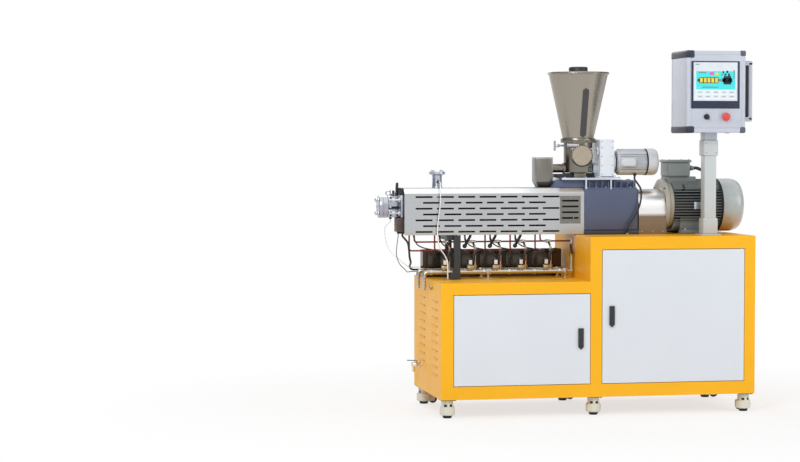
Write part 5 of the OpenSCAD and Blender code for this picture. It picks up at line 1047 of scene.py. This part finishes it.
def stripPatch(shape, width, low, high, out):   # a round-ended strip laid on the cone
    steps, ends = hopper["steps"], hopper["across"]
    halfShare = width / 2 / (hopper["high"] - hopper["low"])
    sections = []
    for share in (low + (high - low) * k / steps for k in range(steps + 1)):
        gap = min(share - low, high - share)
        half = width / 2
        if gap < halfShare:
            half *= math.sqrt(max(1 - ((halfShare - gap) / halfShare) ** 2, 0.0))
        sections.append((share, max(half, strip["leastHalf"])))
    grid = [[[shape.verts.new(coneSpot(share, half * (2 * k / ends - 1), out + lift))
              for k in range(ends + 1)]
             for share, half in sections] for lift in (0, strip["thick"])]
    for side in grid:
        for r in range(steps):
            for k in range(ends):
                shape.faces.new([side[r][k], side[r][k + 1], side[r + 1][k + 1], side[r + 1][k]])
    inner, outer = grid
    for k in (0, ends):
        for r in range(steps):
            shape.faces.new([inner[r][k], inner[r + 1][k], outer[r + 1][k], outer[r][k]])
    for r in (0, steps):
        for k in range(ends):
            shape.faces.new([inner[r][k], inner[r][k + 1], outer[r][k + 1], outer[r][k]])


shape = bmesh.new()
stripPatch(shape, *strip["frame"])
makePiece("stripFrame", shape, hopperSteel, "machine")
shape = bmesh.new()
stripPatch(shape, *strip["glass"])
makePiece("stripGlass", shape, stripGlass, "machine", ("sight_glasses",))
shape = bmesh.new()
addLathe(shape, (drum["x"], axisY, 0), (0, 0, 1), [
    (lidLow, 0), (lidLow, 151), (lidLow + 1.2, 151.5), (capLow, 150.5), (capLow, 0)], 80)
makePiece("hopperLid", shape, lidSteel, "hopper_lid", ("hopper_lid",))
shape = bmesh.new()
addLathe(shape, (drum["x"], axisY, 0), (0, 0, 1), [
    (capLow, 0), (capLow, 46.5), (1667, 46.5), (1671, 45), (capTop, 42), (capTop, 0)], 56)
makePiece("lidCap", shape, blackPlastic, "hopper_lid")
gate = dict(low=1286.3, thick=2.5, radius=59.7, rod=1287.5, end=643.5, grip=25)
low, high = gate["low"], gate["low"] + gate["thick"]
shape = bmesh.new()
addLathe(shape, (drum["x"], axisY, low), (0, 0, 1), [
    (0, 0), (0, gate["radius"]), (gate["thick"], gate["radius"]), (gate["thick"], 0)], 56)
addBox(shape, (689.5, 355, low), (732, 365, high), 0.4)
addRod(shape, (gate["end"], axisY, gate["rod"]), (690.5, axisY, gate["rod"]), 5, 20)
addRods(shape, (gate["end"], axisY, gate["rod"]), (0, 0, 1), [(-gate["grip"], gate["grip"], 5, 20, 2)])
addLathe(shape, (652, axisY, gate["rod"]), (1, 0, 0), [(0, 0), (0, 8), (2, 9), (12, 9), (14, 8), (14, 0)], 28)
makePiece("gateSlide", shape, boltSteel, "gate", ("gate_slide",))

# Drop box with a lid lip, a taper and its pipe into the barrel
drop = dict(x=582, half=42, lip=43.5, throat=28, pipeLow=1035, low=1083, shoulder=1111, high=1226, top=1231)
x = drop["x"]
shape = bmesh.new()
addPost(shape, x, axisY, drop["half"], drop["shoulder"], drop["high"], 1.2)
addPost(shape, x, axisY, drop["lip"], drop["high"], drop["top"], 1)
low, high = [[shape.verts.new((x + half * u, axisY + half * v, z))
              for u, v in ((-1, -1), (1, -1), (1, 1), (-1, 1))]
             for half, z in ((drop["throat"], drop["low"]), (drop["half"], drop["shoulder"] + 0.4))]
shape.faces.new(low)
shape.faces.new(high)
bridge(shape, low, high)
addLathe(shape, (x, axisY, drop["pipeLow"]), (0, 0, 1), [(0, 22), (0, 24), (48, 24), (48, 22)], 40,
         closed=True)
makePiece("dropBox", shape, dropSteel, "machine", ("drop_box",))

# Feeder's gear case
case = dict(left=852.5, right=923.5, front=280, back=440, high=1318, over=10, foot=7, neck=832.5)
left, right, front, back = [case[k] for k in ("left", "right", "front", "back")]
foot = stand["high"] + case["foot"]
shape = bmesh.new()
addBox(shape, (left, front, stand["high"]), (right, back, case["high"]), 2.5)
addBox(shape, (left - case["over"], front, stand["high"]), (right + case["over"], back, foot), 1.2)
makePiece("gearCase", shape, caseWhite, "machine", ("feeder_gearbox",))
shape = bmesh.new()
addLathe(shape, (case["neck"], axisY, drum["spout"]), (1, 0, 0), [
    (0, 8.1), (0, 26), (2, 28), (18, 28), (20, 31), (20, 8.1)], 40, closed=True)
addRod(shape, (842, 336, drum["spout"]), (842, 326, drum["spout"]), 5, 16)
makePiece("caseNeck", shape, caseWhite, "machine")
shape = bmesh.new()
addRod(shape, (846, 300, 1262), (846, 286, 1262), 8, 24, 2)
addBox(shape, (838, 293, 1243), (852.4, 301, 1281), 2)
makePiece("caseKnob", shape, boltSteel, "machine")
screws = [((x, front, z), (0, -1, 0)) for x in (861, 915) for z in (1146, 1190, 1234, 1278, 1308)]
addFasteners("caseScrews", screws, 3.4, 2, 12, boltSteel, top=0.8)
bolts = [((x, y, foot), (0, 0, 1)) for x in (847, 929) for y in (front + 10, axisY, back - 10)]
addFasteners("caseFootBolts", bolts, 4.5, 4, 6, boltSteel)

# Feeder's motor, with fins on four sides, a cowl and a terminal box
small = dict(left=923.5, z=1207, cowl=1105.5, finMiddle=1033, finTip=64.5, body=57.2)
z = small["z"]
shape = bmesh.new()
addLathe(shape, (small["left"], axisY, z), (1, 0, 0), [
    (0, 0), (0, 65), (1.5, 66.5), (11, 66.5), (13, 64), (14, 48), (26, 46), (30, 57), (38, small["body"]),
    (182, small["body"]), (182, 0)], 56)
makePiece("feederMotor", shape, feederSilver, "machine", ("feeder_motor",))
for index in range(4):
    addFins("feederFins%d" % (index + 1), 9, 40, 140, 2.4, small["finTip"], small["body"], 90 * index,
            (small["finMiddle"], axisY, z), feederSilver)
shape = bmesh.new()
addLathe(shape, (small["cowl"], axisY, z), (1, 0, 0), [
    (0, 60), (0, 66.5), (36, 66.5), (46, 64), (53, 58), (56, 50), (56, 0), (54, 0), (54, 48), (44, 60)], 56)
makePiece("feederCowl", shape, feederSilver, "machine")
# near-black rings at the cowl's edge and behind the bell: painted shade in the gaps
shape = bmesh.new()
addLathe(shape, (small["cowl"] - 6, axisY, z), (1, 0, 0), [(0, 56), (0, 65.6), (6, 65.6), (6, 56)], 56,
         closed=True)
addLathe(shape, (small["left"] + 13.1, axisY, z), (1, 0, 0), [
    (0, 45), (0, 53), (7, 52), (11, 48), (11, 45)], 56, closed=True)
makePiece("feederBand", shape, paintedGapShade, "machine")
shape = bmesh.new()
addBox(shape, (962.5, 281, 1190), (1032.5, 312, 1224), 4, 3)
addBox(shape, (960, 277, 1187.5), (1035, 282, 1226.5), 2.2, 3)
makePiece("feederTerminal", shape, feederSilver, "machine")
screws = [((x, 277, z), (0, -1, 0)) for x in (966, 1029) for z in (1193, 1221)]
addFasteners("feederTerminalScrews", screws, 2.6, 1.6, 12, boltSteel)
shape = bmesh.new()
addRods(shape, cableRoutes["feeder"][0][0], (0, 0, 1), [(15, 6, 9, 6, 0.6), (6, 0, 7, 24, 1.4)])
makePiece("feederGland", shape, blackPlastic, "machine")
print("feeder dressed")

# Screen column: foot, two collars and a square post
column = dict(x=1363, y=152, plate=50, collar=37, post=30, thick=5, foot=935, shoulder=1238, top=1315,
              bolts=43, screws=25)
x, y, foot = column["x"], column["y"], highDeck + column["thick"]
shape = bmesh.new()
addPost(shape, x, y, column["plate"], highDeck, foot, 1.5)
addPost(shape, x, y, column["collar"], foot, column["foot"], 6, 3)
addPost(shape, x, y, column["post"], foot, column["shoulder"] + 4, 5, 3)
addPost(shape, x, y, column["collar"], column["shoulder"], column["top"], 6, 3)
makePiece("screenColumn", shape, columnPaint, "machine", ("screen_column",))
reach = column["bolts"]
bolts = [((x + u, y + v, foot), (0, 0, 1)) for u in (-reach, reach) for v in (-reach, reach)]
addFasteners("columnBolts", bolts, 4, 3, 6, boltSteel)
screws = [((x + u, y - column["collar"], z), (0, -1, 0)) for u in (-column["screws"], column["screws"])
          for z in (1254, 1299)]
addFasteners("collarScrews", screws, 3, 2, 12, boltSteel)

# Operator's case: body with a raised front, edge profiles and corner caps
console = dict(left=1214.5, right=1511.5, front=45, back=285, low=1350, high=1744, side=22, edge=20,
               neck=32.5, controls=1426)
left, right, front, back, low, high = [console[k] for k in ("left", "right", "front", "back", "low", "high")]
shape = bmesh.new()
addBox(shape, (left, front + 2, low), (right, back - 2, high), 12, 4)
addBox(shape, (1238, front + 0.2, 1374), (1488, front + 7, 1720), 1.5)
addPost(shape, x, y, console["neck"], column["top"] + 0.3, low + 2, 4, 3)
makePiece("consoleCase", shape, consoleAluminium, "screen", ("screen_box",))
shape = bmesh.new()
side, edge = console["side"], console["edge"]
for x in (left, right - side):
    for y in (front, back - side):
        addBox(shape, (x, y, 1376), (x + side, y + side, 1718), 6, 3)
for z in (low, high - edge):
    for y in (front, back - edge):
        addBox(shape, (1240, y, z), (1486, y + edge, z + edge), 5, 3)
makePiece("consoleProfiles", shape, consoleAluminium, "screen")
shape = bmesh.new()
for z, top in ((low - 2, 1384), (1706, high + 2)):
    addBox(shape, (left - 2, front - 2, z), (1256, back + 2, top), 9, 3)
makePiece("consoleCapsLeft", shape, capNavy, "screen")
shape = bmesh.new()
for z, top in ((low - 2, 1378), (1718, high + 2)):
    for y in (front - 2, back - 30):
        addBox(shape, (1484, y, z), (right + 2, y + 32, top), 8, 3)
makePiece("consoleCapsRight", shape, capGrey, "screen")
shape = bmesh.new()
addBox(shape, (1236.5, 42, 1466), (1480.5, 46, 1694), 1.6, 3)
makePiece("screenBezel", shape, bezelNavy, "screen", ("touch_screen",))


def addFlat(shape, x0, x1, z0, z1, y, index):
    corners = [shape.verts.new((x, yy, z)) for yy in (y, 42.2)
               for x, z in ((x0, z0), (x1, z0), (x1, z1), (x0, z1))]
    for loop in ((0, 1, 2, 3), (7, 6, 5, 4), (0, 4, 5, 1), (1, 5, 6, 2), (2, 6, 7, 3), (3, 7, 4, 0)):
        shape.faces.new([corners[k] for k in loop]).material_index = index


# Display: a generic process picture of plain shapes, without words; the last number is the tone's place
flats = (
    (1276, 1372, 1588, 1616, 4), (1267, 1276, 1595, 1609, 4), (1372, 1402, 1596, 1608, 6),
    (1398, 1436, 1582, 1622, 4), (1392, 1442, 1592, 1612, 4), (1406, 1428, 1594, 1610, 2),
    (1326, 1350, 1628, 1641, 5), (1356, 1373, 1626, 1638, 3), (1272, 1312, 1636, 1641, 6),
    (1392, 1400, 1636, 1646, 4), (1412, 1421, 1637, 1648, 4), (1386, 1394, 1625, 1632, 6),
    (1402, 1412, 1624, 1634, 4), (1420, 1430, 1622, 1634, 4), (1448, 1453, 1610, 1652, 6),
    (1256, 1276, 1676, 1680, 6), (1290, 1372, 1566, 1571, 6))
shape = bmesh.new()
addFlat(shape, 1247, 1468, 1503, 1688, 41.8, 0)
addFlat(shape, 1260, 1457, 1514, 1646, 41.7, 1)
addFlat(shape, 1258, 1459, 1512, 1557, 41.6, 2)
for x0, x1, z0, z1, index in flats:
    addFlat(shape, x0, x1, z0, z1, 41.5, index)
for k in range(5):
    addFlat(shape, 1279 + k * 19, 1293 + k * 19, 1591, 1613, 41.3, 3)
    for row in range(2):
        x, z = 1279 + k * 40, 1515 + row * 21
        wide = (7, 9, 6, 8, 10)[(k + 2 * row) % 5]
        addFlat(shape, x - 18, x + 19, z, z + 18, 41.4, 0)
        addFlat(shape, x - wide, x + wide, z + 7, z + 10, 41.3, 6)
makePiece("displayPicture", shape, displayTones, "screen")

# Stop button, selector and side handle
stop = dict(x=1409.5, head=38, ring=47, inner=8.4, outer=15.5)
selector = dict(x=1314.5, front=44.7, grip=37, degrees=-30)
shape = bmesh.new()
addLathe(shape, (stop["x"], stop["head"], console["controls"]), (0, -1, 0), [
    (-1, 0), (-1, 7.8), (6.5, 7.8), (6.5, 16.6), (0, 17), (0, 18.6), (1.2, 19.6), (4, 20), (9, 19.4),
    (13, 16), (15.4, 10), (16, 0)], 40)
makePiece("stopButton", shape, redPlastic, "estop", ("estop_button",))
shape = bmesh.new()
addLathe(shape, (stop["x"], stop["ring"], console["controls"]), (0, -1, 0), [
    (0, stop["inner"]), (0, stop["outer"]), (6, stop["outer"]), (7, 14.3), (7, stop["inner"])], 36,
    closed=True)
makePiece("controlRings", shape, boltSteel, "screen")
shape = bmesh.new()
addLathe(shape, (selector["x"], selector["front"], console["controls"]), (0, -1, 0), [
    (-8, 0), (-8, 8), (0, 8), (0, 14), (4, 14), (6, 12.8), (10, 12), (10, 0)], 36)
addTurnedBox(shape, (-4.5, -9.8, -13.5), (4.5, 0, 13.5), 1.6,
             (selector["x"], selector["grip"], console["controls"]), selector["degrees"], "Y")
makePiece("selectorKnob", shape, blackPlastic, "selector", ("selector_knob",))
shape = bmesh.new()
for x, z, top in ((1511, 1404.5, 1427), (1511, 1677, 1699.5), (1552, 1410, 1694)):
    addBox(shape, (x, 117, z), (1572.5, 143, top), 4, 3)
makePiece("handleFrame", shape, consoleAluminium, "screen")
# a black block along the inner side of the handle's bar
shape = bmesh.new()
addBox(shape, (1533, 115.5, 1427), (1553.5, 144, 1677), 5, 3)
makePiece("handleBlackBlock", shape, handleBlack, "screen")
print("console dressed")

# Water pipes with hose nozzles, rings, stands and the riser
water = dict(ys=(280, 430), z=676, left=-25, right=714, riser=708, top=835.8, lever=763.9,
             rings=(2, 136, 262, 388, 514, 640, 700), stands=(291, 677), barbs=3, barbPitch=14)
z, riser, left, valveY = water["z"], water["riser"], water["left"], valves["y"]
nozzle = [(0, 0), (0, 11.6), (8, 11.6), (9, 8)]
for k in range(water["barbs"]):
    nozzle += [(start + water["barbPitch"] * k, radius) for start, radius in ((18, 8), (20, 9.4), (30, 8))]
nozzle += [(65, 7.2), (65, 0)]
shape = bmesh.new()
for y in water["ys"]:
    addTube(shape, roundedPath([(left, y, z - 26), (left, y, z), (water["right"], y, z)], 20, 8), 10.6, 24)
    addLathe(shape, (left, y, z - 20), (0, 0, -1), nozzle, 28)
    for x in water["rings"]:
        addRod(shape, (x, y, z), (x + 13, y, z), 14.2, 6, 1)
    for x in water["stands"]:
        addRod(shape, (x, y, lowDeck), (x, y, z - 4), 7, 20)
        addBox(shape, (x - 11, y - 10, lowDeck), (x + 11, y + 10, lowDeck + 4), 1)
        addBox(shape, (x - 12, y - 13, z - 13), (x + 12, y + 13, z + 13), 3)
for k in range(valves["count"]):
    for extra in (0, valves["outlet"]):
        x = valves["first"] + valves["pitch"] * k + extra
        addRod(shape, (x, valveY, z), (x, valveY, z + 14), 8, 6, 0.8)
addRod(shape, (riser, valveY, z), (riser, valveY, water["top"]), 7, 24, 1)
for low in (z + 16, 800):
    addRod(shape, (riser, valveY, low), (riser, valveY, low + 12), 10.4, 6, 0.8)
addRod(shape, (riser, valveY + 8, 821), (riser, valveY, 821), 8, 6, 0.8)
makePiece("waterPipes", shape, pipeSteel, "machine", ("water_pipes",))
shape = bmesh.new()
addLathe(shape, (riser, valveY, water["lever"]), (0, 0, 1), [
    (-16, 0), (-16, 8), (-11, 9.6), (0, 10.4), (11, 9.6), (16, 8), (16, 0)], 28)
makePiece("ballValve", shape, brassMetal, "machine")
shape = bmesh.new()
addTurnedBox(shape, (-6, -4, -6), (46, 0, 6), 1.6, (riser, valveY - 7.3, water["lever"]), -100, "Y")
makePiece("valveLever", shape, blackPlastic, "valve_lever", ("valve_lever",))

# Copper lines under the barrel: a low and a high one, with six pairs of drops and their nuts
copper = dict(y=322, top=951, low=779, high=821, pitch=125.4286, end=582, radius=4, sides=14)
y, top, lowLine, highLine = copper["y"], copper["top"], copper["low"], copper["high"]
pairs = [((-91 + k * copper["pitch"], lowLine), (-66 + k * copper["pitch"], highLine)) for k in range(6)]
runs = [([(-91, y, top), (-91, y, lowLine), (copper["end"], y, lowLine)], 14),
        ([(-66, y, top), (-66, y, highLine), (riser, y, highLine), (riser, 287, highLine)], 14)]
runs += [([(x, y, top), (x, y, low), (x + 24, y, low)], 16) for pair in pairs[1:] for x, low in pair]
shape = bmesh.new()
for run, bend in runs:
    addTube(shape, roundedPath(run, bend), copper["radius"], copper["sides"])
makePiece("copperLines", shape, copperMetal, "machine", ("copper_lines",))
shape = bmesh.new()
for k, pair in enumerate(pairs):
    for x, low in pair:
        addRod(shape, (x, y, top - 15), (x, y, top - 2), 7.4, 6, 0.6)
        if k and low == lowLine:
            addRod(shape, (x + 16, y, low), (x + 28, y, low), 6.8, 6, 0.6)
makePiece("lineNuts", shape, brassMetal, "machine")

# Solenoid valves: brass body, black coil with a white face, riser to a union on the high line, black hose
body, coils, faces, hoses, unions, risers = [bmesh.new() for k in range(6)]
riserRoute = [(0, 0, 0), (0, 0, 92), (-1, 3, 106), (-4, 16, 120), (-6, 34, 130)]
hoseRoute = [(-8, -8, 40), (-9, -9, 64), (-1, -8, 82), (17, -2, 92), (38, 20, 88), (46, 90, 82),
             (47, 202, 78)]
low = z + 14
for k in range(valves["count"]):
    x = valves["first"] + valves["pitch"] * k
    addBox(body, (x - 15, valveY - 15, low), (x + 15, valveY + 15, low + 18), 3)
    addRod(body, (x, valveY, low + 49), (x, valveY, low + 52), 5, 6, 0.5)
    addRod(body, (x + 10, valveY, low + 9), (x + 25, valveY, low + 9), 5, 16)
    addPost(coils, x, valveY, 12, low + 18, low + 50, 3, 3)
    addBox(faces, (x - 8, valveY - 13.2, low + 23), (x + 8, valveY - 11.8, low + 44), 0.4)
    outlet = Vector((x + valves["outlet"], valveY, low))
    addRods(body, outlet, (0, 0, 1), [(8, 20, 8.4, 6, 0.8), (78, 90, 8.4, 6, 0.8)])
    addTube(risers, smoothPath([outlet + Vector(p) for p in riserRoute], 5), 5, 16)
    addTube(hoses, smoothPath([outlet + Vector(p) for p in hoseRoute], 6), 8, 16)
    addRods(unions, (outlet.x - 6, 306, highLine), (0, 1, 0), [(5, 27, 9.5, 6, 1), (0, 6, 6.5, 24, 1.5)])
    addRods(unions, (outlet.x - 6, y, highLine), (1, 0, 0), [(-18, 18, 6.4, 20, 1)])
for x, low in [pair[1] for pair in pairs[2:5]]:
    bend = [(30, 4, 84), (30, 4, 41), (24, 2, 21), (10, -2, -1), (-2, -13, -18)]
    addTube(hoses, smoothPath([(x + u, y + v, highLine + w) for u, v, w in bend], 5), 6.5, 14)
    addLathe(hoses, (x - 4, y - 15, highLine - 20), (0.6, 0.5, 0.6), [
        (-11, 0), (-11, 5), (-7, 9), (0, 11), (7, 9), (11, 5), (11, 0)], 20)
makePiece("valveBodies", body, brassMetal, "machine", ("solenoid_valves",))
makePiece("valveCoils", coils, blackPlastic, "machine")
makePiece("valveFaces", faces, coilWhite, "machine")
makePiece("highUnions", unions, unionNickel, "machine")
makePiece("valveRisers", risers, riserTube, "machine", ("solenoid_valves",))
makePiece("riserHoses", hoses, hoseRubber, "machine")

# Fittings: drain valve, plug and cable glands
drain = dict(y=500, z=209, leverX=-23, degrees=150)
shape = bmesh.new()
addRods(shape, (0, drain["y"], drain["z"]), (-1, 0, 0), [(0, 8, 15, 6, 1)])
addLathe(shape, (-8, drain["y"], drain["z"]), (-1, 0, 0), [
    (0, 0), (0, 9), (7, 12), (22, 12), (29, 9), (38, 10), (38, 0)], 28)
addRod(shape, (-36, drain["y"], 205), (-36, drain["y"], 172.2), 8, 24, 1)
addRod(shape, (drain["leverX"], drain["y"], 215), (drain["leverX"], drain["y"], 225), 5, 20)
makePiece("drainBody", shape, unionNickel, "machine", ("fittings",))
shape = bmesh.new()
addRod(shape, (0, 215, 610), (-12, 215, 610), 14, 6, 1.4)
for label in ("vent", "feeder", "motor"):
    addRods(shape, cableRoutes[label][0][-1], (0, 0, -1), [(8, 3, 9, 6, 0.6), (4, 0, 7.6, 24, 0.8)])
for label in ("die", "sensor", "heater"):
    addRods(shape, cableRoutes[label][0][-1], (1, 0, 0), [(8, 0, 7, 6, 0.6)])
makePiece("sideFittings", shape, brassMetal, "machine", ("fittings",))
shape = bmesh.new()
addTurnedBox(shape, (-6, -6, 0), (46, 6, 4), 1.4, (drain["leverX"], drain["y"], 225.3), drain["degrees"], "Z")
makePiece("drainLever", shape, leverBlue, "drain_lever", ("drain_lever",))

# Wiring trough's doors
trough = dict(first=30, pitch=132, count=5, wide=112, low=652, high=766, front=471.6, back=475.2)
shape = bmesh.new()
for k in range(trough["count"]):
    x = trough["first"] + k * trough["pitch"]
    addBox(shape, (x, trough["front"], trough["low"]),
           (x + trough["wide"], trough["back"], trough["high"]), 3, 3)
makePiece("troughDoors", shape, troughSteel, "machine")
print("pipework dressed")

# Cables: one smooth curve each, from gland to gland
cableFinish = {}
for label, (route, diameter, colour, stiffness) in cableRoutes.items():
    if colour not in cableFinish:
        cableFinish[colour] = moulded("cable" + colour[1:], colour, rough=0.45, tone=0.8)
    path = [at(*point) for point in smoothPath(route, 4)]
    curve = bpy.data.curves.new("cable_" + label, "CURVE")
    curve.dimensions = "3D"
    curve.bevel_depth = diameter / 2 * mm
    curve.bevel_resolution = 4
    curve.use_fill_caps = True
    spline = curve.splines.new("POLY")
    spline.points.add(len(path) - 1)
    for point, spot in zip(spline.points, path):
        point.co = list(spot) + [1]
    curve.materials.append(cableFinish[colour])
    cable = show(bpy.data.objects.new("cable_" + label, curve))
    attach(cable, "machine")
    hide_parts("cables")
print("cables laid")

# Floor: white, glowing to the camera and in reflections away from the machine
stage = dict(floor="#F7F7F6", size=14.0, near=0.7, reach=(1.1, 2.4), key=96.0, fill=38.0, world=0.58,
             ceiling=1.5,
             bands=((0.0, 0.55), (0.12, 0.25), (0.3, 0.9), (0.5, 1.1), (0.66, 0.8), (0.78, 0.3),
                    (0.9, 0.6), (1.0, 0.35)))
shape = bmesh.new()
half = stage["size"]
corners = ((-half, -half), (half, -half), (half, half), (-half, half))
shape.faces.new([shape.verts.new((x, y, 0)) for x, y in corners])
floorMesh = bpy.data.meshes.new("floor")
shape.to_mesh(floorMesh)
shape.free()
floorMaterial, tree, shader, spot = startMaterial("floorWhite")
shader.inputs["Base Color"].default_value = shade(stage["floor"])
shader.inputs["Roughness"].default_value = 0.9
glow = tree.nodes.new("ShaderNodeEmission")
rays = tree.nodes.new("ShaderNodeLightPath").outputs
seen = mathNode(tree, "MAXIMUM", rays["Is Camera Ray"], rays["Is Glossy Ray"])
away = tree.nodes.new("ShaderNodeVectorMath")
away.operation = "LENGTH"
tree.links.new(spot, away.inputs[0])
fade = rangeOf(tree, away.outputs["Value"], stage["near"], 1.0, *stage["reach"])
share = mathNode(tree, "MULTIPLY", seen, fade)
mix = tree.nodes.new("ShaderNodeMixShader")
for socket, source in zip(mix.inputs, (share, shader.outputs[0], glow.outputs[0])):
    tree.links.new(source, socket)
tree.links.new(mix.outputs[0], tree.nodes["Material Output"].inputs["Surface"])
floorMesh.materials.append(floorMaterial)
show(bpy.data.objects.new("floor", floorMesh))

# World: white behind the machine, soft bands in its reflections
world = bpy.data.worlds.new("studio")
bpy.context.scene.world = world
world.use_nodes = True
tree = world.node_tree
white = [1.0] * 4
rays = tree.nodes.new("ShaderNodeLightPath").outputs
seen = mathNode(tree, "MAXIMUM", rays["Is Camera Ray"], rays["Is Transmission Ray"])
x, y, z = axesOf(tree, tree.nodes.new("ShaderNodeTexCoord").outputs["Generated"])
ramp = tree.nodes.new("ShaderNodeValToRGB")
tree.links.new(rangeOf(tree, x, 0.0, 1.0, -1.0, 1.0), ramp.inputs["Fac"])
elements = ramp.color_ramp.elements
while len(elements) < len(stage["bands"]):
    elements.new(0.5)
for element, (place, level) in zip(elements, stage["bands"]):
    element.position = place
    element.color = (level, level, level, 1.0)
mirrored = blendColours(tree, rangeOf(tree, z, 0.0, 1.0, 0.45, 0.8), ramp.outputs["Color"],
                        [stage["ceiling"]] * 3 + [1.0])
surround = blendColours(tree, rays["Is Glossy Ray"], [stage["world"]] * 3 + [1.0], mirrored)
tree.links.new(blendColours(tree, seen, surround, white), tree.nodes["Background"].inputs["Color"])


def addLamp(name, place, size, power):
    data = bpy.data.lights.new(name, "AREA")
    data.shape = "DISK"
    data.size = size
    data.energy = power
    lamp = show(bpy.data.objects.new(name, data))
    lamp.location = place
    lamp.rotation_euler = (Vector((0, 0, 0.9)) - Vector(place)).to_track_quat("-Z", "Y").to_euler()


addLamp("keyLamp", (-2.4, -3.6, 3.6), 2.2, stage["key"])
addLamp("fillLamp", (3.4, -2.6, 2.2), 2.6, stage["fill"])
addLamp("rearLamp", (-0.5, 3.2, 3.4), 2.6, stage["fill"])
print("stage set")
